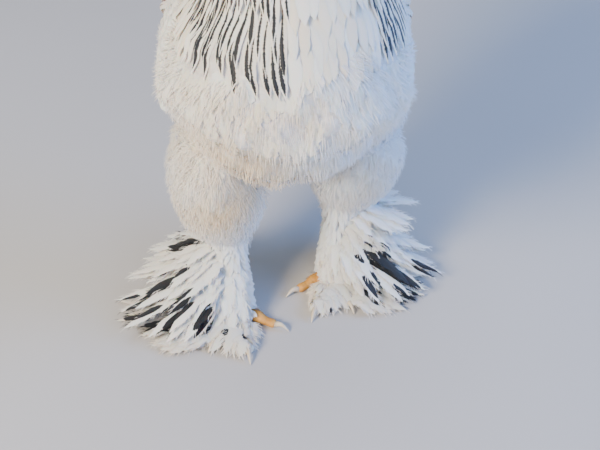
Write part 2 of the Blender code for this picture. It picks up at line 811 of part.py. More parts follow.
def make_wattle(side, skull, chin):
    """A hanging flap with a rounded lower edge and two upright folds."""
    rings = []
    for k in range(7):
        f = k / 6
        z = WATTLE_TOP[2] - WATTLE_DROP * f
        half = WATTLE_HALF * math.sin(math.pi * (0.30 + 0.68 * f)) + 0.0008
        ring = []
        for i in range(12):
            a = 2 * math.pi * i / 12
            along = half * math.cos(a)
            fold = WATTLE_FOLD * math.sin(3.0 * math.pi * along / WATTLE_HALF) * f
            thick = WATTLE_THICK * (1 - 0.35 * f) * math.sin(a) + fold + 0.003 * f
            at = (WATTLE_TOP[0] + thick, WATTLE_TOP[1] + along, z)
            ring.append(mirrored(at, side))
        rings.append(ring)
    flap = set_on_head(loft("wattle_" + side, rings, BIRD))
    cut_clear(flap, skull, chin)
    return flap


def make_earlobe(side, skull):
    lobe = ball("earlobe_" + side, mirrored(LOBE_AT, side), LOBE_RADII, BIRD, cuts=2)
    set_on_head(lobe)
    cut_clear(lobe, skull)
    return lobe


# Tail.
def make_tail(torso):
    """Main tail feathers in a fan on each side like a ridged roof, with coverts and curved sickles over."""
    root = Vector(TAIL_ROOT)
    rise = Vector((0, math.cos(TAIL_RISE), math.sin(TAIL_RISE)))
    core = ball("tail", root + rise * 0.016, (0.026, 0.034, 0.028), BIRD, cuts=2)
    fall = Vector((0, math.sin(TAIL_RISE), -math.cos(TAIL_RISE)))
    pieces = []
    shares = (0.0, 0.35, 0.75, 1.0)
    for tier, (count, spread, length, half) in enumerate((TAIL_FEATHERS, TAIL_COVERTS, TAIL_SICKLES)):
        for sign in (-1, 1):
            # All feathers of a side lie in planes that slope like a roof, one over the other.
            lower = (fall + Vector((sign * TAIL_TENT, 0, 0))).normalized()
            flat = (Vector((sign, 0, 0)) - fall * TAIL_TENT).normalized()
            for k in range(count):
                f = k / (count - 1)
                angle = TAIL_FIRST + spread * f
                way = rise * math.cos(angle) + lower * math.sin(angle)
                off = TAIL_LAYERS[tier] + TAIL_STEP * (count - 1 - k)
                curl = TAIL_CURL[tier] * (1 - 0.35 * f)
                reach = length * (1 - 0.20 * f) * RNG.uniform(0.97, 1.03)
                path = []
                for share in shares:
                    run = way * (0.014 + reach * share) + lower * (curl * share * share)
                    path.append(root + rise * 0.008 + flat * off + run)
                halves = [half * part for part in TAIL_SHAPES[tier]]
                pieces.append(vane("tail_%d" % len(pieces), path, [flat] * len(path), halves, 0.0012))
    fuse(core, pieces)
    cut_clear(core, torso)
    return core


# Legs and feet.
def make_thigh(side, torso):
    rings = [flat_ring(*spline(THIGH[side], k / 9), 16) for k in range(10)]
    thigh = loft("thigh_" + side, rings, BIRD)
    cut_clear(thigh, torso)
    return thigh


def way_of(side, angle):
    """A level direction: the angle is from straight ahead of the foot towards the outside."""
    turned = angle - TOE_IN[side]
    return Vector((SIDE[side] * math.sin(turned), -math.cos(turned), 0.0))


def shank_line(side):
    hock, (x, y) = Vector(HOCK[side]), PAD[side]
    return hock, Vector((x, y + 0.006, 0.014))


def make_shank(side, thigh):
    """The feathered shank, with three tiers of stiff vanes fanning to the outside and behind."""
    top, low = shank_line(side)
    rings = []
    for k in range(7):
        f = k / 6
        middle = top.lerp(low, f) + Vector((0, 0, 0.004 * (1 - f)))
        reach = spline([(r,) for r in SHANK_RADIUS], f)[0]
        rings.append(flat_ring(middle.x, middle.y, middle.z, reach, reach * 1.08, 12))
    core = loft("shank_" + side, rings, BIRD)
    pieces = []
    shares = (0.0, 0.3, 0.72, 1.0)
    for tier, (z, count, first, last, reach, tip_z, half) in enumerate(SHANK_TIERS):
        share = (top.z - z) / (top.z - low.z)
        root = top.lerp(low, share)
        for k in range(count):
            f = k / (count - 1)
            angle = math.radians(first + (last - first) * f + RNG.uniform(-3, 3))
            way = way_of(side, angle)
            length = reach * FAN_REACH[side] * (1 - 0.25 * abs(2 * f - 1) ** 2) * RNG.uniform(0.92, 1.05)
            drop = z - tip_z
            stagger = Vector((0, 0, STAGGER * (1 if k % 2 else -1)))
            path = []
            for part in shares:
                down = drop * part ** 1.3 - 0.010 * math.sin(math.pi * part)
                path.append(root + stagger + way * (0.008 + (length - 0.008) * part) - Vector((0, 0, down)))
            flat = (Vector((0, 0, 1)) + way * 0.5).normalized()
            halves = (half * 0.2, half * 0.85, half, half * 0.3)
            pieces.append(vane("fan_%d_%d" % (tier, k), path, [flat] * len(path), halves, 0.0012))
    fuse(core, pieces)
    cut_clear(core, thigh)
    return core


def toe_line(side, name):
    """Points along a toe's middle with their radii: over the pad, down to the ground, to the claw."""
    length, radius, _ = TOES[name]
    way = way_of(side, math.radians(TOE_WAYS[side][name]))
    start = Vector((*PAD[side], 0.0))
    places, radii = [], []
    for k in range(TOE_RINGS):
        f = k / (TOE_RINGS - 1)
        knuckle = 1 + 0.10 * math.sin(2 * math.pi * TOE_JOINTS * f - 0.6)
        here = radius * (1 - 0.36 * f) * knuckle
        places.append(start + way * (length * f) + Vector((0, 0, here * 0.80 + 0.006 * (1 - f) ** 2)))
        radii.append(here)
    radii[-1] *= 0.75
    return places, radii, way


def flat_soled(thing):
    """Sets everything that would pass the floor on the floor."""
    for v in thing.data.vertices:
        v.co.z = max(v.co.z, 0.0)
    thing.data.update()


def make_toe(side, name):
    places, radii, way = toe_line(side, name)
    across = way.cross(Vector((0, 0, 1))).normalized()
    rings = []
    for place, radius in zip(places, radii):
        ring = []
        for i in range(TOE_SIDES):
            a = 2 * math.pi * (i + 0.5) / TOE_SIDES
            ring.append(place + across * (radius * math.sin(a)) + Vector((0, 0, radius * math.cos(a))))
        rings.append(ring)
    toe = loft("toe", rings, PIECES)
    flat_soled(toe)
    return toe


def make_foot(side, shank, claws):
    """Pad and four toes with flat soles, and the plumage of the outer and middle toes."""
    x, y = PAD[side]
    core = ball("foot_" + side, (x, y + 0.003, 0.009), (0.0175, 0.0185, 0.0145), BIRD, cuts=2)
    flat_soled(core)
    fuse(core, [make_toe(side, name) for name in TOES])
    pieces = []
    shares = (0.0, 0.3, 0.72, 1.0)
    for k, (toe, share, angle, length, half, arch) in enumerate(TOE_VANES):
        places, radii, _ = toe_line(side, toe)
        place = share * (TOE_RINGS - 1)
        low = min(int(place), TOE_RINGS - 2)
        root = places[low].lerp(places[low + 1], place - low)
        way = way_of(side, math.radians(angle + RNG.uniform(-3, 3)))
        reach = length * FAN_REACH[side] * RNG.uniform(0.94, 1.04)
        tip_z = 0.0022 + 0.0024 * (k % 2)
        arch += 0.0024 * (k % 2)
        path = []
        for part in shares:
            z = root.z * (1 - part) + tip_z * part + arch * math.sin(math.pi * part)
            at = root + way * (reach * part)
            path.append(Vector((at.x, at.y, z)))
        halves = (half * 0.3, half * 0.85, half, half * 0.3)
        pieces.append(vane("toe_vane_%d" % k, path, [Vector((0, 0, 1))] * len(path), halves, 0.0012))
    fuse(core, pieces)
    cut_clear(core, shank, *claws)
    return core


def make_claw(side, name):
    """A claw that curves down from the tip of its toe to just above the floor."""
    places, radii, way = toe_line(side, name)
    across = way.cross(Vector((0, 0, 1))).normalized()
    length = TOES[name][2]
    low = 0.0 if name == "hind" else 0.0012
    start = places[-1] + way * (GAP + 0.0001)
    rings = []
    for k in range(CLAW_RINGS):
        f = k / (CLAW_RINGS - 1)
        radius = radii[-1] * CLAW_STOUT * (1 - f) ** 0.75 + 0.0003
        rise = 0.0035 * math.sin(math.pi * f) - (start.z - low) * f ** 1.8
        middle = start + way * (length * f) + Vector((0, 0, rise))
        rings.append([
            middle + across * (radius * math.sin(a)) + Vector((0, 0, 1.15 * radius * math.cos(a)))
            for a in (2 * math.pi * i / CLAW_SIDES for i in range(CLAW_SIDES))
        ])
    claw = loft("claw_%s_%s" % (side, name), rings, BIRD)
    flat_soled(claw)
    return claw


def main():
    torso = make_torso()
    wings = [make_wing(side, torso) for side in SIDE]
    eyes = [make_eye(side) for side in SIDE]
    head, skull = make_head(eyes)
    beak = make_beak(head)
    comb = make_comb(skull, beak[0])
    wattles = [make_wattle(side, skull, beak[2]) for side in SIDE]
    lobes = [make_earlobe(side, skull) for side in SIDE]
    neck = make_neck(head, [*lobes, *wattles], torso, wings)
    tail = make_tail(torso)
    make_saddle(torso, wings, tail)
    thighs, shanks, feet, claws = [], [], [], []
    for side in SIDE:
        thighs.append(make_thigh(side, torso))
        shanks.append(make_shank(side, thighs[-1]))
        nails = [make_claw(side, name) for name in TOES]
        feet.append(make_foot(side, shanks[-1], nails))
        claws += nails
    for thing in (torso, neck, head, *wings, *thighs, *shanks):
        finish(thing, "white_plumage")
    for thing in feet:
        finish(thing, "toe_scales")
    for thing in claws:
        finish(thing, "claw_horn")
    for thing in beak:
        finish(thing, "beak_horn")
    for thing in (comb, *wattles, *lobes):
        finish(thing, "red_skin")
    for thing in eyes:
        finish(thing, "eye")
    finish(tail, "black_plumage")
    frame = bpy.data.objects.new("bird_frame", None)
    BIRD.objects.link(frame)
    for thing in BIRD.objects:
        if thing is not frame:
            thing.parent = frame
    frame.location = (*SHIFT, 0.0)


clear_scene()
CUTTERS = new_collection("cutters", rendered=False)
PIECES = new_collection("feather_pieces", rendered=False)
BIRD = new_collection("brahma_cock")
main()
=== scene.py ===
import math

import bmesh
import bpy
import numpy as np
from bpy.props import FloatProperty, FloatVectorProperty, IntProperty, PointerProperty
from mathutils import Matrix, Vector


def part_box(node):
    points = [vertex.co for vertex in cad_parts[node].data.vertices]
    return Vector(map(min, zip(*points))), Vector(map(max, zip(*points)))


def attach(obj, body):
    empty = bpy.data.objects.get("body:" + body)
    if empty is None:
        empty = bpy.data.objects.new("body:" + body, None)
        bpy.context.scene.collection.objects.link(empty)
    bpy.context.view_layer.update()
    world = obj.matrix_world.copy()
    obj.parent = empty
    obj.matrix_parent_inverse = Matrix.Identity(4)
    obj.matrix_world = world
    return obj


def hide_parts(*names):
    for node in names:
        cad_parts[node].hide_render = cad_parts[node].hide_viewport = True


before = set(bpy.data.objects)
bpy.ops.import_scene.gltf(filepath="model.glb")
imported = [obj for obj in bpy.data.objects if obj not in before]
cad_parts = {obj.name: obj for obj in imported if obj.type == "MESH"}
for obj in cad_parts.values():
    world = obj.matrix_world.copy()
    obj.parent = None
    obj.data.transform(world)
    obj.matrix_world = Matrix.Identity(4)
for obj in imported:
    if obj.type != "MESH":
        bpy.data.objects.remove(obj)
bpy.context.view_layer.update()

bl_info = {
    "name": "Light Brahma Cock",
    "version": (1, 0, 0),
    "blender": (4, 5, 0),
    "location": "View3D > Sidebar > Brahma",
    "description": "Skin, plumage, head and stage of a life-size light Brahma cock",
    "category": "Object",
}

TURN = 2 * math.pi
UP = np.array((0.0, 0.0, 1.0))
SIDES = {"right": -1.0, "left": 1.0}

# The tables repeat the driving sizes of the solids, in the bird's own frame: it faces -Y and its left is
# +X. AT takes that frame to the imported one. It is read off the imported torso, whose breast point is known.
# Torso: y, top z, low z, z of the widest place, half width there.
TORSO = np.array([
    (-0.172, 0.361, 0.359, 0.360, 0.001), (-0.166, 0.402, 0.318, 0.357, 0.046),
    (-0.148, 0.430, 0.275, 0.348, 0.078), (-0.118, 0.445, 0.242, 0.337, 0.101),
    (-0.078, 0.451, 0.220, 0.327, 0.114), (-0.028, 0.451, 0.205, 0.321, 0.120),
    (0.028, 0.446, 0.199, 0.319, 0.122), (0.082, 0.442, 0.200, 0.323, 0.120),
    (0.128, 0.447, 0.212, 0.332, 0.112), (0.166, 0.458, 0.235, 0.346, 0.096),
    (0.196, 0.463, 0.270, 0.364, 0.073), (0.215, 0.450, 0.318, 0.383, 0.044),
    (0.222, 0.396, 0.394, 0.395, 0.001),
])
# Neck hackle: x, y, z, reach to the front, to the side and to the back, and how far the front hangs and the
# back rises.
CAPE = np.array([
    (0.016, -0.080, 0.616, 0.021, 0.024, 0.029, 0.000), (0.015, -0.078, 0.582, 0.031, 0.034, 0.042, 0.002),
    (0.014, -0.074, 0.543, 0.042, 0.046, 0.056, 0.006), (0.013, -0.069, 0.502, 0.056, 0.061, 0.070, 0.014),
    (0.012, -0.062, 0.462, 0.073, 0.079, 0.086, 0.024), (0.010, -0.056, 0.424, 0.093, 0.099, 0.108, 0.034),
    (0.006, -0.050, 0.392, 0.113, 0.118, 0.130, 0.040),
])
NECK_TURN = math.radians(25)
# Thighs: x, y, z, half width, half length.
THIGH = {
    "right": np.array([
        (-0.060, 0.034, 0.310, 0.040, 0.076), (-0.064, 0.032, 0.278, 0.054, 0.094),
        (-0.068, 0.026, 0.240, 0.058, 0.094), (-0.071, 0.017, 0.202, 0.058, 0.082),
        (-0.073, 0.011, 0.168, 0.055, 0.068), (-0.073, 0.010, 0.138, 0.049, 0.056),
        (-0.072, 0.012, 0.112, 0.040, 0.044), (-0.071, 0.013, 0.096, 0.027, 0.029),
    ]),
    "left": np.array([
        (0.060, 0.048, 0.310, 0.040, 0.076), (0.064, 0.050, 0.278, 0.054, 0.092),
        (0.068, 0.051, 0.240, 0.058, 0.091), (0.073, 0.055, 0.202, 0.059, 0.080),
        (0.075, 0.062, 0.168, 0.056, 0.067), (0.075, 0.069, 0.138, 0.050, 0.055),
        (0.072, 0.074, 0.112, 0.041, 0.043), (0.070, 0.075, 0.096, 0.028, 0.029),
    ]),
}
THIGH_HEIGHT = 0.214
HOCK = {"right": np.array((-0.070, 0.012, 0.104)), "left": np.array((0.068, 0.074, 0.104))}
PAD = {"right": np.array((-0.0545, -0.0240, 0.0)), "left": np.array((0.0505, 0.0450, 0.0))}
TOE_IN = {"right": math.radians(10), "left": math.radians(15)}
# The shank runs from the hock to SHANK_END, given from the pad, with these radii on the way.
SHANK_END = np.array((0.0, 0.006, 0.014))
SHANK_RADIUS = np.array([(0.027,), (0.020,), (0.018,), (0.019,)])
# Toes: length, radius, length of the claw. Their directions are in degrees towards the outside.
TOES = {
    "inner": (0.048, 0.0078, 0.017), "middle": (0.067, 0.0085, 0.020), "outer": (0.057, 0.0078, 0.017),
    "hind": (0.034, 0.0068, 0.015),
}
TOE_WAYS = {
    "right": {"inner": -52, "middle": 0, "outer": 36, "hind": -158},
    "left": {"inner": -38, "middle": 0, "outer": 36, "hind": -158},
}
# The last ring of a toe against its own radius.
TOE_END = 0.75
# How far from the pad each toe is bare, and half the width of the strip that counts as the toe's own.
BARE_FROM = {"inner": 0.010, "hind": 0.010, "middle": 0.056, "outer": 0.047}
TOE_STRIP = 0.012
# Reach of the foot feathers on each side, against the lengths in the fan tables, and a further share for
# each tier of the outer fan, from the hock down.
FAN_REACH = {"right": 1.14, "left": 1.00}
TIER_REACH = {"right": (0.78, 0.76, 0.94, 1.0, 1.0, 1.02), "left": (1.10, 1.12, 0.90, 0.88, 1.0, 1.06)}
# The head has a frame of its own, at HEAD_AT and turned by HEAD_TURN. Skull, beak, eyes, comb, wattles, lobes
# and nostrils are given in it. Skull and beak: y, middle z, half width, rise and drop.
HEAD_AT = np.array((0.022, -0.092, 0.632))
HEAD_TURN = math.radians(32)
SKULL = np.array([
    (-0.036, 0.001, 0.0010, 0.0010, 0.0010), (-0.033, 0.001, 0.0095, 0.0100, 0.0100),
    (-0.026, 0.001, 0.0142, 0.0150, 0.0140), (-0.014, 0.002, 0.0185, 0.0200, 0.0180),
    (0.000, 0.002, 0.0205, 0.0225, 0.0205), (0.014, 0.000, 0.0205, 0.0225, 0.0220),
    (0.026, -0.004, 0.0175, 0.0190, 0.0200), (0.034, -0.008, 0.0100, 0.0110, 0.0120),
    (0.037, -0.009, 0.0010, 0.0010, 0.0010),
])
BEAK_UPPER = np.array([
    (-0.020, 0.0010, 0.0115, 0.0115, 0.0045), (-0.030, 0.0000, 0.0096, 0.0105, 0.0042),
    (-0.038, -0.0020, 0.0079, 0.0090, 0.0038), (-0.046, -0.0048, 0.0060, 0.0070, 0.0034),
    (-0.053, -0.0085, 0.0038, 0.0046, 0.0032), (-0.0575, -0.0120, 0.0014, 0.0018, 0.0020),
    (-0.0582, -0.0134, 0.0003, 0.0003, 0.0003),
])
BEAK_LOWER = np.array([
    (-0.018, -0.0085, 0.0098, 0.0048, 0.0052), (-0.030, -0.0086, 0.0080, 0.0046, 0.0048),
    (-0.040, -0.0100, 0.0058, 0.0038, 0.0040), (-0.048, -0.0120, 0.0034, 0.0032, 0.0026),
    (-0.0525, -0.0128, 0.0004, 0.0006, 0.0004),
])
EYE_AT = np.array((0.0140, -0.0110, 0.0050))
EYE_RADIUS = 0.0066
TAIL_ROOT = np.array((0.0, 0.186, 0.438))
TAIL_RISE = math.radians(66)
# How far the two sides of the tail lean apart, like a ridged roof.
TAIL_TENT = 0.62

BREAST_FRONT = TORSO[0, 0]
AT = np.array([
    (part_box("torso")[0][0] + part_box("torso")[1][0]) / 2,
    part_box("torso")[0][1] - BREAST_FRONT,
    0.0,
])

COMB = {"front": -0.0330, "back": 0.0120, "half": 0.0098, "middle": 0.0100, "outer": 0.0066, "points": 5}
WATTLE = {"top": (0.0075, -0.0190, -0.0110), "drop": 0.032, "half": 0.0105, "thick": 0.0036, "fold": 0.0007}
LOBE_AT = np.array((0.0195, 0.0060, -0.0150))
LOBE_RADII = np.array((0.0038, 0.0080, 0.0150))
NOSTRIL_AT = np.array((0.0074, -0.0405, 0.0010))

# Wing tiers: feathers, y of the first and last root, place around of both in degrees, length, half width,
# height over the flank, and how much of the web is black.
WING_TIERS = (
    (8, 0.036, 0.060, 101, 85, 0.104, 0.0085, 0.0060, 1.0),
    (12, 0.014, 0.050, 100, 57, 0.092, 0.0100, 0.0076, 0.30),
    (11, -0.012, 0.018, 99, 55, 0.054, 0.0100, 0.0090, 0.0),
    (10, -0.032, -0.006, 97, 57, 0.042, 0.0095, 0.0100, 0.0),
    (11, -0.050, -0.026, 98, 57, 0.036, 0.0088, 0.0104, 0.0),
    (11, -0.070, -0.048, 98, 57, 0.034, 0.0082, 0.0100, 0.0),
)
# Wing core: middle and half length along the flank, middle and half spread around it in degrees, depth.
WING_CORE = (-0.012, 0.090, 76, 25, 0.0040)
# Tail tiers: feathers a side, spread in degrees, length, half width, curl, height over the fan, taper at the
# tip, how far the black reaches across the web.
TAIL_TIERS = (
    (7, 50, 0.150, 0.0185, 0.004, 0.0010, 0.45, 2.0),
    (7, 60, 0.112, 0.0150, 0.020, 0.0100, 0.35, 0.84),
    (8, 66, 0.084, 0.0125, 0.022, 0.0135, 0.32, 0.76),
    (3, 40, 0.182, 0.0125, 0.080, 0.0185, 0.15, 2.0),
    (8, 72, 0.058, 0.0105, 0.016, 0.0160, 0.30, 0.62),
)
# Foot fans: root height, feathers, first and last direction in degrees from straight ahead to the
# outside, reach, tip height, half width, arch.
FANS = (
    (0.090, 7, 70, 158, 0.062, 0.084, 0.0076, 0.004),
    (0.080, 9, 58, 150, 0.086, 0.074, 0.0084, 0.008),
    (0.068, 11, 46, 148, 0.092, 0.056, 0.0088, 0.010),
    (0.057, 12, 42, 146, 0.100, 0.040, 0.0090, 0.010),
    (0.046, 12, 40, 138, 0.112, 0.027, 0.0092, 0.010),
    (0.035, 12, 40, 130, 0.122, 0.015, 0.0092, 0.010),
    (0.072, 7, -36, 56, 0.026, 0.048, 0.0072, 0.006),
    (0.060, 8, -34, 58, 0.036, 0.034, 0.0078, 0.008),
    (0.047, 8, -14, 60, 0.046, 0.021, 0.0080, 0.011),
    (0.034, 8, -8, 60, 0.053, 0.010, 0.0076, 0.012),
    (0.022, 8, -4, 56, 0.058, 0.005, 0.0072, 0.012),
)
# Toe fans: toe, feathers, first and last share of the way along it, first and last direction, first and
# last length, half width, arch.
TOE_FANS = (
    ("outer", 10, 0.05, 0.95, 104, 82, 0.124, 0.050, 0.0100, 0.006),
    ("outer", 9, 0.10, 0.95, 98, 74, 0.112, 0.036, 0.0092, 0.010),
    ("middle", 8, 0.20, 0.85, 58, 22, 0.056, 0.018, 0.0080, 0.012),
    ("middle", 4, 0.30, 0.70, -30, -16, 0.026, 0.016, 0.0060, 0.006),
)
# Black splashes of the foot plumage: direction in degrees and distance from the pad, half length along that
# direction, half width. They are drawn SPLASH_LONG times as long and SPLASH_WIDE times as wide.
SPLASH_LONG = 1.3
SPLASH_WIDE = 0.85
SPLASHES = {
    "right": (
        (126, 0.070, 0.018, 0.0055), (133, 0.030, 0.010, 0.0035), (140, 0.082, 0.009, 0.004),
        (101, 0.123, 0.008, 0.004), (94, 0.113, 0.014, 0.008), (97, 0.081, 0.021, 0.0065),
        (77, 0.077, 0.020, 0.005), (84, 0.106, 0.015, 0.006), (68, 0.076, 0.016, 0.006),
        (51, 0.058, 0.014, 0.0055), (25, 0.050, 0.005, 0.003), (2, 0.054, 0.005, 0.003),
        (-27, 0.026, 0.005, 0.003),
    ),
    "left": (
        (69, 0.040, 0.006, 0.003), (88, 0.066, 0.007, 0.0035), (-4, 0.047, 0.005, 0.003),
        (15, 0.073, 0.006, 0.003), (81, 0.080, 0.032, 0.0095), (66, 0.066, 0.007, 0.0035),
        (56, 0.069, 0.012, 0.005), (98, 0.112, 0.014, 0.005), (72, 0.098, 0.012, 0.004),
    ),
}

# Feather outlines: shares of the length, and the half width there against the widest place.
OUTLINES = {
    "soft": ((0, 0.2, 0.55, 0.85, 1.0), (0.25, 0.75, 1.0, 0.72, 0.12)),
    "hackle": ((0, 0.2, 0.6, 0.85, 1.0), (0.35, 0.8, 1.0, 0.66, 0.04)),
    "wing": ((0, 0.2, 0.55, 0.85, 1.0), (0.4, 0.85, 1.0, 0.85, 0.25)),
    "saddle": ((0, 0.2, 0.6, 0.85, 1.0), (0.35, 0.8, 1.0, 0.6, 0.05)),
    "tail": ((0, 0.2, 0.6, 0.88, 1.0), (0.3, 0.75, 1.0, 0.85, 0.45)),
    "foot": ((0, 0.25, 0.6, 0.88, 1.0), (0.25, 0.85, 1.0, 0.70, 0.06)),
}
# Black stripes down the shaft: shares of the length, and half width of the stripe there against the web's.
HACKLE_STRIPE = ((0, 0.35, 0.65, 0.84, 0.96, 1.0), (0.0, 0.12, 0.36, 0.52, 0.22, -0.3))
SADDLE_STRIPE = ((0, 0.3, 0.8, 1.0), (-0.2, 0.3, 0.45, 0.0))
# Plain front of the neck: its middle from the turned front, where it is full and where it ends to each side.
THROAT = (math.radians(2), math.radians(20), math.radians(32))
# Loose barbs: length and half width in the fringe of a web, first place along it; half width in the down.
FRINGE_LENGTH = 0.0090
FRINGE_HALF = 0.00042
FRINGE_FIRST = 0.45
DOWN_HALF = 0.00045

# Depth of the coat: how far the skin lies inside the outline of the plumage. NECK_SHARE is the skin's share
# of the girth of the hackle.
TORSO_COAT = 0.0055
THIGH_COAT = 0.0070
NECK_SHARE = 0.80
# Breast crease: drop at its ends, depth of its bow, middle, half width.
CREASE = (-0.196, 0.067, 0.003, 0.121)
# Size of the cubes that join the skin, height of the lowest feathers over the floor, and side of the square
# that one feather takes up in the unwrap of a coat.
VOXEL = 0.0030
FLOOR_GAP = 0.0004
BAKE_PATCH = 0.003

COLOURS = {
    "white": "#F3EFE6",
    "cream": "#EFC88C",
    "shade": "#B9BBC0",
    "black": "#15191B",
    "face": "#C23A30",
    "comb": "#B5201C",
    "beak": "#D9A44E",
    "beak_dark": "#4A3520",
    "toe": "#D79A45",
    "claw": "#E3D3B4",
    "iris": "#C4581C",
    "floor": "#C6C3BC",
}
PUPIL = "#0A0807"
# Lights: place, width, colour, all aimed at LIGHTS_AIM. The power of each is a property of the scene.
LIGHTS = {
    "key": ((-1.8, -2.3, 1.9), 1.1, "#FFEFD9"),
    "fill": ((2.5, -0.2, 1.4), 1.5, "#6EA4FF"),
    "front": ((0.9, -2.6, 0.8), 1.4, "#A9C6FF"),
    "top": ((0.1, 0.5, 2.8), 2.0, "#F4F6FF"),
}
LIGHTS_AIM = (0, 0, 0.25)
SKY = "#AFC8F2"
# The camera's place in the bird's own frame, and the width of its sensor in millimetres.
CAMERA_AT = (0.015, -1.334, 1.116)
SENSOR = 36.0


def linear(colour):
    """An sRGB hex value as linear red, green and blue."""
    parts = np.array([int(colour[i:i + 2], 16) for i in (1, 3, 5)]) / 255
    made = np.where(parts <= 0.04045, parts / 12.92, ((parts + 0.055) / 1.055) ** 2.4)
    return tuple(float(c) for c in made)


# Number work shared by all pieces.
def unit(v):
    return v / np.maximum(np.linalg.norm(v, axis=-1, keepdims=True), 1e-9)


def step(low, high, x):
    """0 below low, 1 above high, and a smooth cubic between."""
    t = np.clip((x - low) / (high - low), 0.0, 1.0)
    return t * t * (3 - 2 * t)


def bell(x, middle, width):
    """A Gaussian hump of height 1."""
    return np.exp(-(((x - middle) / width) ** 2))


def circle(count):
    """Angles round a full turn."""
    return np.linspace(0, TURN, count, endpoint=False)


def wrapped(angle):
    """The same angle, less than half a turn either way."""
    return (angle + math.pi) % TURN - math.pi


def eased(count):
    """Shares from 0 to 1 that crowd towards both ends: half of 1 less a cosine."""
    return (1 - np.cos(np.linspace(0, math.pi, count))) / 2


def tangent(way, out):
    """Directions made level with a surface that has those outward directions."""
    return unit(way - out * (way * out).sum(-1, keepdims=True))


def through(rows, t):
    """Rows of a size table joined by Catmull-Rom cubics: t runs from 0 at the first row to 1 at the last."""
    place = np.clip(np.asarray(t, float), 0.0, 1.0) * (len(rows) - 1)
    i = np.minimum(place.astype(int), len(rows) - 2)
    f = (place - i).reshape(place.shape + (1,) * (rows.ndim - 1))
    before, here = rows[np.maximum(i - 1, 0)], rows[i]
    after, beyond = rows[i + 1], rows[np.minimum(i + 2, len(rows) - 1)]
    square = 2 * before - 5 * here + 4 * after - beyond
    cube = 3 * here - before - 3 * after + beyond
    return 0.5 * (2 * here + (after - before) * f + square * f**2 + cube * f**3)


def along_rows(rows, values):
    """Share of the way through a table at which its first column reaches each value."""
    return np.interp(values, rows[:, 0], np.linspace(0, 1, len(rows)))


def spread_out(points, count):
    """Each row of points (feather, station, axis) resampled to count stations by Catmull-Rom cubics."""
    stations = np.linspace(0, 1, count)
    return np.moveaxis(through(np.moveaxis(points, 1, 0), stations), 0, 1)


def torso_point(y, around):
    """Outline of the torso plumage: an egg section at y, around it from the back line, positive to +X."""
    row = through(TORSO, along_rows(TORSO, y))
    c, s = np.cos(around), np.sin(around)
    reach = np.where(c > 0, row[..., 1] - row[..., 3], row[..., 3] - row[..., 2])
    x = row[..., 4] * s
    return np.stack([x, y + 0 * x, row[..., 3] + reach * c], -1) + AT


def cape_point(t, around, share=1.0):
    """Outline of the neck plumage: a tilted oval at t down the neck, around it from the turned front."""
    row = through(CAPE, t)
    turned = np.asarray(around) + NECK_TURN
    c, s = np.cos(turned), np.sin(turned)
    reach = np.where(c > 0, row[..., 3], row[..., 5])
    x = row[..., 0] + row[..., 4] * share * s
    y = row[..., 1] - reach * share * c
    return np.stack([x, y, row[..., 2] - row[..., 6] * c], -1) + AT


def thigh_point(side, t, around):
    """Outline of the thigh plumage: a level oval at t down the leg, around it from straight ahead."""
    row = through(THIGH[side], t)
    x = row[..., 0] + row[..., 3] * np.sin(around)
    y = row[..., 1] - row[..., 4] * np.cos(around)
    return np.stack([x, y, row[..., 2] + 0 * x], -1) + AT


def with_normals(point, u, v, du, dv, outward):
    """Points of a two-parameter surface and its outward unit normals, by central differences."""
    a = point(u + du, v) - point(u - du, v)
    b = point(u, v + dv) - point(u, v - dv)
    return point(u, v), unit(np.cross(a, b)) * outward


def head_point(h):
    """Points of the head's own frame, turned about the upright axis and moved to the head's place."""
    c, s = math.cos(HEAD_TURN), math.sin(HEAD_TURN)
    x, y = h[..., 0] * c - h[..., 1] * s, h[..., 0] * s + h[..., 1] * c
    return np.stack([x, y, h[..., 2]], -1) + HEAD_AT + AT


def in_head(p):
    """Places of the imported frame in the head's own frame: the reverse of head_point."""
    q = p - AT - HEAD_AT
    c, s = math.cos(HEAD_TURN), math.sin(HEAD_TURN)
    return np.stack([q[..., 0] * c + q[..., 1] * s, -q[..., 0] * s + q[..., 1] * c, q[..., 2]], -1)


def egg_rings(rows, count, sides):
    """Egg sections in upright planes, for a table of y, middle z, half width, rise and drop."""
    row = through(rows, eased(count))[:, None]
    a = circle(sides)[None]
    reach = np.where(np.cos(a) > 0, row[..., 3], row[..., 4])
    x = row[..., 2] * np.sin(a)
    return np.stack([x, row[..., 0] + 0 * x, row[..., 1] + reach * np.cos(a)], -1)


def ball_angles(gap, count, around):
    """Grids of the angle from the pole of a ball, short of both poles by a gap, and of the angle round it."""
    return np.meshgrid(np.linspace(gap, math.pi - gap, count), around, indexing="ij")


def ball_rings(a, b, radii):
    """Rings of an ellipsoid about its upright axis, for the grids of ball_angles."""
    x, y = radii[0] * np.sin(a) * np.cos(b), radii[1] * np.sin(a) * np.sin(b)
    return np.stack([x, y, radii[2] * np.cos(a)], -1)


def way_of(side, angle):
    """Level directions: the angle is from straight ahead of the foot towards its outside."""
    turned = np.asarray(angle) - TOE_IN[side]
    return np.stack([SIDES[side] * np.sin(turned), -np.cos(turned), 0 * turned], -1)


def toe_way(side, name):
    return way_of(side, math.radians(TOE_WAYS[side][name]))


def from_toe(side, name, points):
    """How far points lie from the pad along a toe, and how far off its line on the level."""
    q = points - AT - PAD[side]
    way = toe_way(side, name)
    run = q @ way
    return run, np.linalg.norm(q[:, :2] - run[:, None] * way[None, :2], axis=1)


def on_toe(side, name, points, start):
    """Whether points belong to a toe and lie further along it than start."""
    run, off = from_toe(side, name, points)
    return (run > start) & (off < TOE_STRIP) & (points[:, 2] < 0.030)


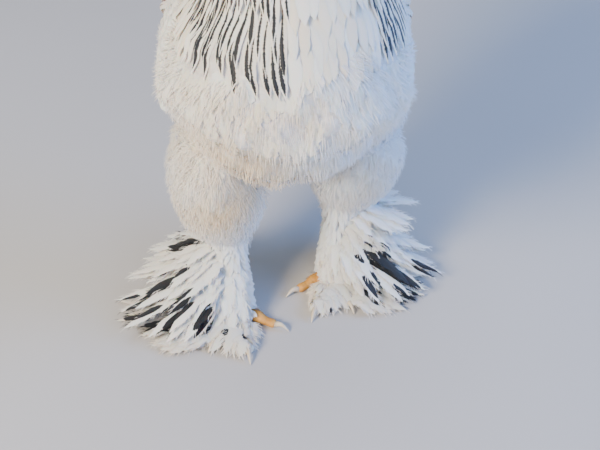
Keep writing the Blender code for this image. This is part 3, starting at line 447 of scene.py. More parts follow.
def toe_line(side, name, count):
    """Middle line of a toe with its radii: knuckles from a sine along it, arched from pad to ground."""
    length, radius, _ = TOES[name]
    f = np.linspace(0, 1, count)
    radii = radius * (1 - 0.36 * f) * (1 + 0.10 * np.sin(TURN * 2.5 * f - 0.6))
    places = PAD[side] + toe_way(side, name) * (length * f)[:, None] + AT
    places[:, 2] = radii * 0.80 + 0.006 * (1 - f) ** 2
    return places, radii


# Meshes.
def rings_mesh(rings):
    """Points and faces of a skin over rings (ring, place, axis), with each end closed to its middle."""
    count, sides = rings.shape[:2]
    points = np.vstack([rings.reshape(-1, 3), rings[0].mean(0), rings[-1].mean(0)])
    r, k = np.meshgrid(np.arange(count - 1), np.arange(sides), indexing="ij")
    a, b = r * sides + k, r * sides + (k + 1) % sides
    k = np.arange(sides)
    last = (count - 1) * sides
    return points, [
        np.stack([a, b, b + sides, a + sides], -1).reshape(-1, 4),
        np.stack([np.full(sides, len(points) - 2), (k + 1) % sides, k], -1),
        np.stack([np.full(sides, len(points) - 1), last + k, last + (k + 1) % sides], -1),
    ]


def tube(places, radii, way, sides, tall=1.0):
    """A skin over ovals round a line of places, tall times as high as wide, cut off at the floor."""
    across = np.array((way[1], -way[0], 0.0))
    turn = circle(sides)
    ring = across * np.sin(turn)[:, None] + tall * UP * np.cos(turn)[:, None]
    rings = places[:, None] + ring[None] * radii[:, None, None]
    rings[..., 2] = np.maximum(rings[..., 2], 0.0)
    return rings_mesh(rings)


def joined(shapes):
    """Several (points, faces) shapes as one."""
    points, faces, base = [], [], 0
    for shape_points, shape_faces in shapes:
        points.append(shape_points)
        faces += [f + base for f in shape_faces]
        base += len(shape_points)
    return np.vstack(points), faces


def build_mesh(name, points, faces, outward=True):
    """A mesh from point and face arrays; faces is a list of arrays, one for each number of corners."""
    corners = np.concatenate([f.ravel() for f in faces]).astype(np.int32)
    sizes = np.concatenate([np.full(len(f), f.shape[1]) for f in faces])
    starts = np.concatenate([[0], np.cumsum(sizes)[:-1]]).astype(np.int32)
    mesh = bpy.data.meshes.new(name)
    mesh.vertices.add(len(points))
    mesh.vertices.foreach_set("co", np.ascontiguousarray(points, np.float32).ravel())
    mesh.loops.add(len(corners))
    mesh.loops.foreach_set("vertex_index", corners)
    mesh.polygons.add(len(sizes))
    mesh.polygons.foreach_set("loop_start", starts)
    mesh.update(calc_edges=True)
    if outward:
        work = bmesh.new()
        work.from_mesh(mesh)
        bmesh.ops.recalc_face_normals(work, faces=work.faces)
        work.to_mesh(mesh)
        work.free()
    mesh.shade_smooth()
    return mesh


def placed(name, mesh):
    made = bpy.data.objects.new(name, mesh)
    bpy.context.scene.collection.objects.link(made)
    return made


def baked(thing):
    """Applies an object's modifiers to its mesh."""
    bpy.context.view_layer.update()
    graph = bpy.context.evaluated_depsgraph_get()
    mesh = bpy.data.meshes.new_from_object(thing.evaluated_get(graph))
    thing.modifiers.clear()
    old, thing.data = thing.data, mesh
    bpy.data.meshes.remove(old)
    return thing


def vectors(items, name):
    """One vector of each vertex, normal or face of a mesh, as rows."""
    made = np.empty(len(items) * 3, np.float32)
    items.foreach_get(name, made)
    return made.reshape(-1, 3).astype(float)


def coordinates(mesh):
    return vectors(mesh.vertices, "co")


def directions(mesh):
    return vectors(mesh.vertex_normals, "vector")


def set_coordinates(mesh, points):
    mesh.vertices.foreach_set("co", points.astype(np.float32).ravel())
    mesh.update()


def set_value(mesh, name, values):
    """A number for each vertex, as an attribute that a material reads."""
    layer = mesh.attributes.new(name, "FLOAT", "POINT")
    layer.data.foreach_set("value", np.ascontiguousarray(values, np.float32).ravel())


def set_colour(mesh, name, values):
    layer = mesh.attributes.new(name, "FLOAT_COLOR", "POINT")
    full = np.concatenate([values, np.ones((len(values), 1))], axis=1)
    layer.data.foreach_set("color", np.ascontiguousarray(full, np.float32).ravel())


def set_uv(mesh, name, values):
    """A UV map from one pair for each vertex."""
    corners = np.empty(len(mesh.loops), np.int32)
    mesh.loops.foreach_get("vertex_index", corners)
    layer = mesh.uv_layers.new(name=name)
    layer.data.foreach_set("uv", np.ascontiguousarray(values[corners], np.float32).ravel())


def finished(thing, finish, slot, *nodes):
    """Gives a piece its finish and its body, and hides the solids that it stands for. Its slot is not used.
    """
    thing.data.materials.clear()
    thing.data.materials.append(finish)
    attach(thing, "root")
    if nodes:
        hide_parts(*nodes)
    return thing


# Materials.
def add_node(tree, kind, settings=None, links=None):
    """One node, with its settings and the sockets that feed it. A setting is a property or an input."""
    node = tree.nodes.new(kind)
    for key, value in (settings or {}).items():
        if key in node.inputs:
            node.inputs[key].default_value = value
        else:
            setattr(node, key, value)
    for key, source in (links or {}).items():
        tree.links.new(source, node.inputs[key])
    return node


def new_material(name, **sockets):
    """A Principled finish with its constant sockets set; returns the material, its tree and the shader."""
    made = bpy.data.materials.new(name)
    made.use_nodes = True
    tree = made.node_tree
    shader = tree.nodes["Principled BSDF"]
    for key, value in sockets.items():
        shader.inputs[key.replace("_", " ")].default_value = value
    return made, tree, shader


def four(colour):
    return (*colour, 1.0)


def maths(tree, operation, first, second=0.5, third=0.5, clamp=False):
    """A Math node's output; its inputs are numbers or other outputs."""
    node = tree.nodes.new("ShaderNodeMath")
    node.operation = operation
    node.use_clamp = clamp
    for i, value in enumerate((first, second, third)):
        if isinstance(value, (int, float)):
            node.inputs[i].default_value = value
        else:
            tree.links.new(value, node.inputs[i])
    return node.outputs[0]


def mixed(tree, share, first, second):
    """One colour over another by a share from 0 to 1."""
    node = tree.nodes.new("ShaderNodeMix")
    node.data_type = "RGBA"
    for i, value in ((0, share), (6, first), (7, second)):
        if isinstance(value, (int, float, tuple)):
            node.inputs[i].default_value = value
        else:
            tree.links.new(value, node.inputs[i])
    return node.outputs[2]


def over_object(tree, kind, **settings):
    """A texture over the object's own places."""
    place = add_node(tree, "ShaderNodeTexCoord")
    return add_node(tree, kind, settings, {"Vector": place.outputs["Object"]})


def bumped(tree, shader, height, strength, distance):
    """Gives a finish small relief, from a height."""
    bump = add_node(tree, "ShaderNodeBump", {"Strength": strength, "Distance": distance}, {"Height": height})
    tree.links.new(bump.outputs[0], shader.inputs["Normal"])


def plumage_material(colours):
    """Feather keratin: matt, soft and slightly translucent, and glossier where it is black.

    The barbs are 0.3 mm apart in life and are drawn 1.2 mm apart, so that they show. They run from the
    shaft out and towards the tip, at about 40 degrees.
    """
    made, tree, shader = new_material(
        "feather_keratin", Subsurface_Weight=0.22, Subsurface_Scale=0.009, Sheen_Weight=0.15,
        Sheen_Roughness=0.6, Specular_IOR_Level=0.3,
    )
    ink = add_node(tree, "ShaderNodeAttribute", {"attribute_name": "ink"}).outputs["Fac"]
    tint = add_node(tree, "ShaderNodeAttribute", {"attribute_name": "tint"}).outputs["Fac"]
    web = add_node(tree, "ShaderNodeUVMap", {"uv_map": "Vane"})
    split = add_node(tree, "ShaderNodeSeparateXYZ", links={0: web.outputs[0]})
    across = maths(tree, "ABSOLUTE", split.outputs["X"])
    gap, slant = 0.0012, 1.15
    barb = maths(tree, "MULTIPLY_ADD", across, -slant, split.outputs["Y"])
    wave = maths(tree, "SINE", maths(tree, "MULTIPLY", barb, TURN / gap))
    rough = add_node(tree, "ShaderNodeCombineXYZ", links={
        "X": maths(tree, "MULTIPLY", barb, 900.0), "Y": maths(tree, "MULTIPLY", across, 60.0),
        "Z": maths(tree, "MULTIPLY", tint, 37.0),
    })
    clump = add_node(tree, "ShaderNodeTexNoise", {"Scale": 1.0, "Detail": 1.0}, {"Vector": rough.outputs[0]})
    torn = maths(tree, "MULTIPLY_ADD", clump.outputs["Fac"], 0.5, -0.25)
    mask = maths(tree, "MULTIPLY_ADD", maths(tree, "ADD", ink, torn), 9.0, 0.5, clamp=True)
    # Cream mixed in by the tint: the plumage's own cream wash, and on the breast and the right thigh painted
    # warm light too.
    warm = mixed(tree, maths(tree, "MULTIPLY", tint, 0.85, clamp=True),
                 four(colours.white), four(colours.cream))
    streak = maths(tree, "MULTIPLY_ADD", clump.outputs["Fac"], 0.22, -0.06, clamp=True)
    white = mixed(tree, streak, warm, four(colours.shade))
    tree.links.new(mixed(tree, mask, white, four(colours.black)), shader.inputs["Base Color"])
    tree.links.new(maths(tree, "MULTIPLY_ADD", mask, -0.36, 0.78), shader.inputs["Roughness"])
    bumped(tree, shader, wave, 0.35, 0.0002)
    return made


def skin_material():
    """Bird skin, pebbled about 1 mm across. Its tone is on the mesh, uneven in patches 6 mm across."""
    made, tree, shader = new_material(
        "bird_skin", Roughness=0.55, Subsurface_Weight=0.15, Subsurface_Scale=0.003,
    )
    tone = add_node(tree, "ShaderNodeAttribute", {"attribute_name": "tone"})
    pebble = over_object(tree, "ShaderNodeTexVoronoi", Scale=900.0)
    patch = over_object(tree, "ShaderNodeTexNoise", Scale=160.0, Detail=4.0)
    dim = maths(tree, "MULTIPLY_ADD", patch.outputs["Fac"], 0.7, 0.62)
    shade = add_node(tree, "ShaderNodeVectorMath", {"operation": "SCALE"},
                     {0: tone.outputs["Color"], "Scale": dim})
    tree.links.new(shade.outputs[0], shader.inputs["Base Color"])
    bumped(tree, shader, pebble.outputs["Distance"], 0.5, 0.0004)
    return made


def flesh_material(colours):
    """Comb and wattles: moist, blood-filled skin with fine round papillae about 1 mm across."""
    made, tree, shader = new_material(
        "comb_flesh", Roughness=0.42, Subsurface_Weight=0.3, Subsurface_Scale=0.004,
    )
    pebble = over_object(tree, "ShaderNodeTexVoronoi", Scale=800.0)
    patch = over_object(tree, "ShaderNodeTexNoise", Scale=120.0, Detail=3.0)
    deep = tuple(c * 0.45 for c in colours.comb)
    tree.links.new(mixed(tree, patch.outputs["Fac"], four(colours.comb), four(deep)),
                   shader.inputs["Base Color"])
    bumped(tree, shader, pebble.outputs["Distance"], 0.6, 0.0005)
    return made


def horn_material(name, light, dark):
    """Keratin horn, worn smooth, with a soft grain about 3 mm across. The attribute stripe darkens it: the
    dark ridge of the beak, painted shade in the nostrils, and the claw towards its base.
    """
    made, tree, shader = new_material(name, Roughness=0.35, Subsurface_Weight=0.1, Subsurface_Scale=0.002)
    stripe = add_node(tree, "ShaderNodeAttribute", {"attribute_name": "stripe"}).outputs["Fac"]
    grain = over_object(tree, "ShaderNodeTexNoise", Scale=350.0, Detail=3.0)
    share = maths(tree, "MULTIPLY_ADD", grain.outputs["Fac"], 0.25, stripe, clamp=True)
    tree.links.new(mixed(tree, share, four(light), four(dark)), shader.inputs["Base Color"])
    bumped(tree, shader, grain.outputs["Fac"], 0.2, 0.0002)
    return made


def eye_material(colours):
    """A wet eyeball: black pupil, orange-bay iris with fine flecks, dark rim.

    The attribute reach runs out from 0 at the middle of the pupil.
    """
    pupil_end, iris_end = 0.36, 0.80
    made, tree, shader = new_material("wet_eye", Roughness=0.06, Coat_Weight=1.0, Coat_Roughness=0.02)
    reach = add_node(tree, "ShaderNodeAttribute", {"attribute_name": "reach"}).outputs["Fac"]
    fleck = over_object(tree, "ShaderNodeTexNoise", Scale=900.0)
    iris = mixed(tree, fleck.outputs["Fac"], four(colours.iris), four(tuple(c * 0.4 for c in colours.iris)))
    pupil = maths(tree, "MULTIPLY_ADD", reach, -16.0, 16.0 * pupil_end, clamp=True)
    rim = maths(tree, "MULTIPLY_ADD", reach, 12.0, -12.0 * iris_end, clamp=True)
    dark = four(linear(PUPIL))
    inner = mixed(tree, pupil, iris, dark)
    tree.links.new(mixed(tree, rim, inner, dark), shader.inputs["Base Color"])
    return made


def floor_material(colours):
    """Smooth studio floor paint, matt, with a faint unevenness."""
    made, tree, shader = new_material("matt_floor_paint", Roughness=0.8)
    patch = over_object(tree, "ShaderNodeTexNoise", Scale=3.0, Detail=3.0)
    dull = tuple(c * 0.92 for c in colours.floor)
    tree.links.new(mixed(tree, patch.outputs["Fac"], four(colours.floor), four(dull)),
                   shader.inputs["Base Color"])
    return made


MAKERS = {
    "plumage": plumage_material,
    "skin": lambda _: skin_material(),
    "flesh": flesh_material,
    "beak": lambda colours: horn_material("beak_horn", colours.beak, colours.beak_dark),
    "claw": lambda colours: horn_material("claw_horn", colours.claw, colours.beak_dark),
    "eye": eye_material,
    "floor": floor_material,
}
MATERIALS = {}


def material(name):
    """The finish of that name, made once."""
    if name not in MATERIALS:
        MATERIALS[name] = MAKERS[name](bpy.context.scene.brahma_colours)
    return MATERIALS[name]


# The skin, and places on it.
def grow(mesh, amount):
    """Moves each vertex along its normal, by one amount or by a column of amounts."""
    set_coordinates(mesh, coordinates(mesh) + directions(mesh) * amount)


def drape(points):
    """The nearest places on the skin, and its outward directions there, for an array of points."""
    flat = points.reshape(-1, 3)
    mesh = bpy.data.meshes.new("drape")
    mesh.vertices.add(len(flat))
    mesh.vertices.foreach_set("co", flat.astype(np.float32).ravel())
    guide = placed("drape", mesh)
    wrap = guide.modifiers.new("Wrap", "SHRINKWRAP")
    wrap.target = bpy.data.objects["skin"]
    wrap.wrap_method = "NEAREST_SURFACEPOINT"
    wrap.wrap_mode = "ABOVE_SURFACE"
    found = []
    for offset in (0.0, 0.01):
        wrap.offset = offset
        graph = bpy.context.evaluated_depsgraph_get()
        graph.update()
        found.append(coordinates(guide.evaluated_get(graph).data))
    bpy.data.objects.remove(guide)
    bpy.data.meshes.remove(mesh)
    out = unit(found[1] - found[0])
    return found[0].reshape(points.shape), out.reshape(points.shape)


def groomed(roots, lengths, lie, stations):
    """Marches over the skin from each root along the lie of the coat.

    Each step goes its share of the length along the lie, made tangent to the skin, and is set back on it.
    """
    steps = 4
    place, out = drape(roots)
    places, outs = [place], [out]
    for _ in range(steps):
        way = tangent(lie(place - AT), out)
        place, out = drape(place + way * (lengths / steps)[:, None])
        places.append(place)
        outs.append(out)
    return spread_out(np.stack(places, 1), stations), unit(spread_out(np.stack(outs, 1), stations))


# Feathers.
def outline(kind, stations, tip=None):
    """Half-width profile of a kind of feather at every station. A tip takes the place of its last value."""
    shares, widths = OUTLINES[kind]
    if tip is not None:
        widths = (*widths[:-1], tip)
    return np.interp(np.linspace(0, 1, stations), shares, widths)


def varied(profile, low, high, count, rng):
    """A profile for each of several feathers, times a draw of its own between low and high."""
    return profile[None] * rng.uniform(low, high, count)[:, None]


def web_faces(s, c, backed):
    """Faces of a web of s stations by c columns: the top, the underside, then a cap at each end.

    The underside is one strip from edge to edge, or, if backed, a second grid that shares the edge columns.
    """
    index = np.arange(s * c).reshape(s, c)
    faces = [np.stack([index[:-1, :-1], index[:-1, 1:], index[1:, 1:], index[1:, :-1]], -1).reshape(-1, 4)]
    if backed:
        low = index.copy()
        low[:, 1:-1] = s * c + np.arange(s * (c - 2)).reshape(s, c - 2)
        faces.append(np.stack([low[:-1, :-1], low[1:, :-1], low[1:, 1:], low[:-1, 1:]], -1).reshape(-1, 4))
        caps = [np.concatenate([index[0, ::-1], low[0, 1:-1]]), np.concatenate([index[-1], low[-1, -2:0:-1]])]
    else:
        faces.append(np.stack([index[:-1, 0], index[1:, 0], index[1:, -1], index[:-1, -1]], -1))
        caps = [index[0, ::-1], index[-1]]
    return [*faces, np.array(caps)]


def vanes(path, out, half, *, tint, home, columns, camber, soft, ink=None, thick=0.0004, jag=0.0,
          backed=False, rng=None):
    """Closed feather webs, all at once.

    A web is a grid: stations along the path, columns across. The point at x from -1 to 1 across lies
    x times the half width to the side, camber times x squared times the half width down, and a shaft
    ridge up. The edge columns go in by up to a share jag, every second station less. The shading of the top
    is drawn towards the outward directions by a share soft. The ink, how black each point is, is an array
    or a rule over the points.
    """
    n, s = half.shape
    x = np.linspace(-1, 1, columns)
    along = unit(np.gradient(path, axis=1))
    side = unit(np.cross(along, out))
    up = np.cross(side, along)
    reach = half[..., None] * x
    if jag:
        edge = np.abs(x) > 0.99
        notch = rng.uniform(0.0, jag, (n, s, 2)) * np.where(np.arange(s) % 2, 1.0, 0.25)[None, :, None]
        reach[..., edge] *= 1 - notch
    lift = -camber * half[..., None] * x**2 + thick * (1 - np.abs(x))
    top = path[:, :, None] + side[:, :, None] * reach[..., None] + up[:, :, None] * lift[..., None]
    run = np.concatenate([np.zeros((n, 1)), np.cumsum(np.linalg.norm(np.diff(path, axis=1), axis=2), 1)], 1)
    web = np.stack([reach, np.broadcast_to(run[..., None], reach.shape)], -1)
    share = np.broadcast_to(np.linspace(0, 1, s)[None, :, None], reach.shape)
    patch = np.stack([np.broadcast_to(x / 2, reach.shape), share - 0.5], -1) * BAKE_PATCH
    points = top.reshape(n, -1, 3)
    if backed:
        under = top[:, :, 1:-1] - up[:, :, None] * (thick * 2)
        points = np.concatenate([points, under.reshape(n, -1, 3)], 1)

    def spread(values):
        """Values of the top grid for every point of every web, the underside taking those above it."""
        whole = [values.reshape(n, -1, values.shape[-1])]
        if backed:
            whole.append(values[:, :, 1:-1].reshape(n, -1, values.shape[-1]))
        return np.concatenate(whole, 1).reshape(-1, values.shape[-1])

    if ink is None:
        ink = np.full(reach.shape, -1.0)
    elif callable(ink):
        ink = ink(top)
    tints = np.broadcast_to(np.broadcast_to(tint, (n,))[:, None, None], reach.shape)
    a = unit(np.gradient(top, axis=1))
    b = unit(np.gradient(top, axis=2))
    bend = unit(unit(np.cross(b, a)) * (1 - soft) + out[:, :, None] * soft)
    above = spread(bend)
    below = -spread(np.broadcast_to(out[:, :, None], top.shape))
    offsets = np.arange(n)[:, None, None] * points.shape[1]
    whole, normals = [], []
    for k, group in enumerate(web_faces(s, columns, backed)):
        many = (group[None] + offsets).reshape(-1, group.shape[1])
        whole.append(many)
        normals.append((above if k == 0 else below)[many.ravel()])
    return {
        "points": points.reshape(-1, 3), "faces": whole, "normals": normals, "web": spread(web),
        "bake": spread(patch + home[:, None, None]), "ink": spread(ink[..., None]),
        "tint": spread(tints[..., None]), "edges": (top[:, :, 0], top[:, :, -1]), "along": along,
        "side": side, "up": up, "top_ink": ink,
    }


def coat(name, groups, slot, *nodes):
    """One piece from several groups of feathers, with faces of the same number of corners together."""
    sizes = sorted({f.shape[1] for g in groups for f in g["faces"]})
    base, faces, normals = 0, {k: [] for k in sizes}, {k: [] for k in sizes}
    for group in groups:
        for face, normal in zip(group["faces"], group["normals"]):
            faces[face.shape[1]].append(face + base)
            normals[face.shape[1]].append(normal)
        base += len(group["points"])
    points = np.vstack([g["points"] for g in groups])
    points[:, 2] = np.maximum(points[:, 2], FLOOR_GAP)
    mesh = build_mesh(name, points, [np.vstack(faces[k]) for k in sizes], outward=False)
    set_uv(mesh, "OFBake", np.vstack([g["bake"] for g in groups]))
    set_uv(mesh, "Vane", np.vstack([g["web"] for g in groups]))
    set_value(mesh, "ink", np.vstack([g["ink"] for g in groups]))
    set_value(mesh, "tint", np.vstack([g["tint"] for g in groups]))
    mesh.normals_split_custom_set(np.vstack([np.vstack(normals[k]) for k in sizes]).astype(np.float32))
    return finished(placed(name, mesh), material("plumage"), slot, *nodes)


def girth(point, u):
    """Length once round a two-parameter surface at u, from 60 points."""
    ring = point(np.full(60, u), np.linspace(0, TURN, 60))
    return np.linalg.norm(np.diff(ring, axis=0), axis=1).sum()


def rows_of(point, firsts, gap, rng):
    """Roots in staggered rows, each with as many as its girth allows, moved by up to a quarter of a gap."""
    us, vs = [], []
    for k, u in enumerate(firsts):
        count = max(int(girth(point, u) / gap), 3)
        v = (np.arange(count) + 0.5 * (k % 2)) / count * TURN
        vs.append(v + rng.uniform(-0.25, 0.25, count) * TURN / count)
        us.append(np.full(count, u))
    return np.concatenate(us), wrapped(np.concatenate(vs))


def body_cream_and_warm_light(p):
    """Cream wash of the plumage in soft patches, and painted warm light, strongest on the breast, then on the
    right thigh, the sides that face the warm key light.
    """
    q = p - AT
    wave = np.sin(31 * q[..., 0] + 3 * np.sin(17 * q[..., 2])) * np.sin(27 * q[..., 2] + 11 * q[..., 1] + 1.0)
    # Painted warm light: cream on the front of the breast and on the right thigh, which face the warm key
    # light.
    warm = bell(q[..., 0], -0.025, 0.060) * step(0.02, -0.10, q[..., 1]) * step(0.42, 0.36, q[..., 2])
    warm = warm + 0.6 * bell(q[..., 0], -0.070, 0.045) * bell(q[..., 2], 0.175, 0.050)
    return np.clip(0.06 + 0.26 * wave * step(0.10, -0.05, q[..., 1]) + 0.60 * warm, 0.0, 1.0)


def home_of(u, v):
    """Places on the unwrap of the skin: both values scaled into the middle of the square."""
    return np.stack([0.01 + 0.98 * np.clip(u, 0, 1), 0.01 + 0.98 * np.clip(v, 0, 1)], -1)


def torso_lie(q):
    """Feathers run back, and down where the breast and the stern fall away."""
    front = step(-0.02, -0.15, q[:, 1])
    stern = step(0.15, 0.21, q[:, 1])
    down = 0.22 * step(0.42, 0.36, q[:, 2]) + 3.2 * front + 1.6 * stern
    return np.stack([0.15 * q[:, 0], 1.0 + 0 * front, -down], -1)


def leg_lie(q):
    """Down the leg, a little back and away from it."""
    return np.stack([0.06 * np.sign(q[:, 0]), 0.12 + 0 * q[:, 0], -1.0 + 0 * q[:, 0]], -1)


def body_feathers(roots, lie, lengths, half, tilt, home, rng, *, jag, stations, soft=0.6, lift=0.0004,
                  columns=5):
    """Soft rounded feathers over the skin, each rising from its root to lie over the next row."""
    path, out = groomed(roots, lengths, lie, stations)
    s = np.linspace(0, 1, stations)
    rise = lift + rng.uniform(-0.0003, 0.0003, len(roots))
    height = rise[:, None] + (tilt * lengths)[:, None] * s[None] - 0.0012 * (1 - s[None]) ** 3
    path = path + out * height[..., None]
    wide = half[:, None] * outline("soft", stations)[None]
    return vanes(path, out, wide, tint=body_cream_and_warm_light(roots) + rng.uniform(-0.08, 0.08, len(roots)), home=home,
                 jag=jag, soft=soft, rng=rng, columns=columns, camber=0.10)


def wisps(roots, ways, outs, lengths, half, home, tint, droop=0.25, soft=0.6, ink=-1.0):
    """Single loose barbs: slivers of three stations that leave the coat and bend along its lie."""
    n = len(roots)
    s = np.linspace(0, 1, 3)
    bend = ways[:, None] * s[None, :, None] + outs[:, None] * (s * (1 - droop * s))[None, :, None] * 0.5
    path = roots[:, None] + bend * lengths[:, None, None]
    wide = np.broadcast_to(half * np.array((1.0, 0.75, 0.12)), (n, 3))
    marks = np.broadcast_to(np.asarray(ink, float).reshape(-1, 1, 1), (n, 3, 3))
    out = np.broadcast_to(outs[:, None], path.shape)
    return vanes(path, out, wide, tint=tint, home=home, columns=3, camber=0.1, thick=0.0002, soft=soft,
                 ink=marks)


# Operators: one for each piece or group of like pieces.
class BRAHMA_OT_skin(bpy.types.Operator):
    """One continuous skin for body, neck, head, legs and feet"""

    bl_idname = "brahma.skin"
    bl_label = "Skin"

    def execute(self, context):
        skin = placed("skin", self.one_mesh(self.forms()))
        remesh = skin.modifiers.new("Join", "REMESH")
        remesh.mode = "VOXEL"
        remesh.voxel_size = VOXEL
        settle = skin.modifiers.new("Settle", "SMOOTH")
        settle.factor = 0.5
        settle.iterations = 3
        baked(skin)
        self.mound(skin.data)
        self.refine(skin.data)
        self.shape_face(skin.data)
        self.shape_toes(skin.data)
        skin.data.shade_smooth()
        self.colour(skin.data, context.scene.brahma_colours)
        nodes = ["torso", "neck", "head"]
        nodes += [part + "_" + side for side in SIDES for part in ("thigh", "shank", "foot")]
        finished(skin, material("skin"), "red_skin", *nodes)
        return {"FINISHED"}

    def forms(self):
        """Torso, thighs, wing cores, shanks, feet, neck, head and the root of the tail, as closed meshes."""
        y = BREAST_FRONT + (TORSO[-1, 0] - BREAST_FRONT) * eased(61)
        around = circle(72)
        torso = build_mesh("form", *rings_mesh(torso_point(y[:, None], around[None])))
        grow(torso, -TORSO_COAT)
        forms = [torso]
        for side, sign in SIDES.items():
            t = np.linspace(0, 1, 30)[:, None]
            rings = thigh_point(side, t, around[None, ::2])
            middle = rings.mean(1, keepdims=True)
            rings = middle + (rings - middle) * (1 - 0.10 * step(0.45, 0.12, t))[..., None]
            thigh = build_mesh("form", *rings_mesh(rings))
            grow(thigh, -THIGH_COAT)
            forms.append(thigh)
            forms.append(build_mesh("form", *rings_mesh(wing_rings(sign))))
            forms.append(build_mesh("form", *rings_mesh(shank_rings(side))))
            forms.append(build_mesh("form", *joined(foot_shapes(side))))
        t = np.linspace(0, 0.94, 30)
        share = NECK_SHARE - 0.10 * step(0.6, 0.94, t)
        neck = cape_point(t[:, None], around[None, ::2], share[:, None])
        forms.append(build_mesh("form", *rings_mesh(neck)))
        forms.append(build_mesh("form", *rings_mesh(head_point(egg_rings(SKULL, 48, 48)))))
        root = TAIL_ROOT + AT + np.array((0, math.cos(TAIL_RISE), math.sin(TAIL_RISE))) * 0.012
        knob = ball_rings(*ball_angles(0.05, 14, around[::4]), (0.022, 0.030, 0.024))
        forms.append(build_mesh("form", *rings_mesh(knob + root)))
        return forms

    def one_mesh(self, forms):
        work = bmesh.new()
        for mesh in forms:
            work.from_mesh(mesh)
            bpy.data.meshes.remove(mesh)
        whole = bpy.data.meshes.new("skin")
        work.to_mesh(whole)
        work.free()
        return whole

    def mound(self, mesh):
        """Soft heaps of down on body and thighs, and the crease where the breast hangs over the thighs.

        The heaps are crossed, wavering waves 40 to 50 mm long, along the normal. The crease is a parabola in
        the plane of side distance and drop, where drop runs forward and down in the shares 0.62 to 0.78,
        with a soft lip above it and a shallow hollow below.
        """
        x, y, z = (coordinates(mesh) - AT).T
        wave = np.sin(148 * x + 40 * z + 1.7 * np.sin(61 * y)) * np.sin(131 * z - 35 * x + 0.8)
        wave = wave + 0.6 * np.sin(92 * y + 105 * z + 1.9 * np.sin(83 * x))
        on = step(0.130, 0.200, z) * step(0.470, 0.400, z)
        drop = -0.62 * y - 0.78 * z
        off = drop - CREASE[0] - CREASE[1] * (1 - ((x - CREASE[2]) / CREASE[3]) ** 2)
        front = step(0.12, 0.04, y) * step(0.140, 0.160, z)
        groove = -0.0125 * bell(off, 0.0, 0.0095) - 0.0030 * bell(off, 0.020, 0.016)
        groove = groove + 0.0036 * bell(off, -0.024, 0.016)
        grow(mesh, (0.0022 * wave * on + groove * front)[:, None])

    def refine(self, mesh):
        """Splits the faces of the head and the feet, where small forms show."""
        work = bmesh.new()
        work.from_mesh(mesh)
        for _ in range(2):
            work.verts.ensure_lookup_table()
            near = in_head(np.array([v.co for v in work.verts]))
            fine = np.linalg.norm(near - (0, -0.006, 0), axis=1) < 0.036
            edges = [e for e in work.edges if fine[e.verts[0].index] and fine[e.verts[1].index]]
            made = bmesh.ops.subdivide_edges(work, edges=edges, cuts=1, use_grid_fill=True)
            fresh = [v for v in made["geom"] if isinstance(v, bmesh.types.BMVert)]
            bmesh.ops.smooth_vert(work, verts=fresh, factor=0.5, use_axis_x=True, use_axis_y=True,
                                  use_axis_z=True)
            work.verts.index_update()
        low = [e for e in work.edges if e.verts[0].co.z < 0.022 and e.verts[1].co.z < 0.022]
        bmesh.ops.subdivide_edges(work, edges=low, cuts=1, use_grid_fill=True)
        work.to_mesh(mesh)
        work.free()

    def shape_face(self, mesh):
        """Sockets, lids, brows, the corner of the mouth and folds of the cheek, as humps along the normal."""
        h = in_head(coordinates(mesh))
        x, y, z = np.abs(h[:, 0]), h[:, 1], h[:, 2]
        on_side = step(0.006, 0.012, x) * (np.linalg.norm(h, axis=1) < 0.05)
        r = np.hypot((y - EYE_AT[1]) / 1.12, (z - EYE_AT[2]) / 0.95)
        upper = step(-0.002, 0.003, z - EYE_AT[2])
        push = -0.0026 * step(0.0052, 0.0036, r) + (0.0009 + 0.0006 * upper) * bell(r, 0.0060, 0.0011)
        push += -0.0006 * bell(r, 0.0083, 0.0010) + 0.0004 * bell(r, 0.0100, 0.0009)
        brow = bell(z, 0.0135 - 25 * (y + 0.008) ** 2, 0.0022) * bell(y, -0.009, 0.010)
        push += 0.0016 * brow
        mouth = bell(z, -0.0068 - 0.15 * (y + 0.022), 0.0008) * step(-0.013, -0.017, y)
        push -= 0.0012 * mouth
        cheek = np.sin((z + 0.6 * y) * 1900) * bell(r, 0.0125, 0.0035) * step(0.004, -0.002, z)
        push += 0.00022 * cheek
        grow(mesh, (push * on_side)[:, None])

    def shape_toes(self, mesh):
        """Overlapping scutes across each toe, and soles flat on the floor."""
        points = coordinates(mesh)
        push = np.zeros(len(points))
        for side in SIDES:
            for name, (_, radius, _) in TOES.items():
                run, off = from_toe(side, name, points)
                on = (off < radius * 1.15) * step(0.012, 0.020, run) * step(0.003, 0.007, points[:, 2])
                saw = 1 - (run / 0.0042) % 1.0
                push = np.maximum(push, on * (0.0007 * saw ** 0.6))
        points += directions(mesh) * push[:, None]
        points[:, 2] = np.where(points[:, 2] < 0.0008, 0.0, points[:, 2])
        set_coordinates(mesh, points)

    def colour(self, mesh, colours):
        """Red face with painted shade in the eye sockets, white under the coat, dark under the tail, yellow
        toes.
        """
        points = coordinates(mesh)
        h, q = in_head(points), points - AT
        tone = np.array(colours.white) * 0.8 + 0 * points
        face = step(0.010, 0.004, h[:, 1] - 0.25 * h[:, 2]) * (q[:, 2] > 0.590)
        tone = tone * (1 - face[:, None]) + np.array(colours.face) * face[:, None]
        r = np.hypot(h[:, 1] - EYE_AT[1], h[:, 2] - EYE_AT[2])
        # Painted shade: the skin of the eye socket, round and behind the eyeball, is darkened to a fifth.
        socket_shade = step(0.0054, 0.0044, r) * face
        tone = tone * (1 - 0.8 * socket_shade[:, None])
        for side in SIDES:
            for name, start in BARE_FROM.items():
                tone[on_toe(side, name, points, start)] = colours.toe
        rump = step(0.185, 0.200, q[:, 1]) * step(0.425, 0.445, q[:, 2])
        tone = tone * (1 - rump[:, None]) + np.array(colours.black) * rump[:, None]
        set_colour(mesh, "tone", tone)


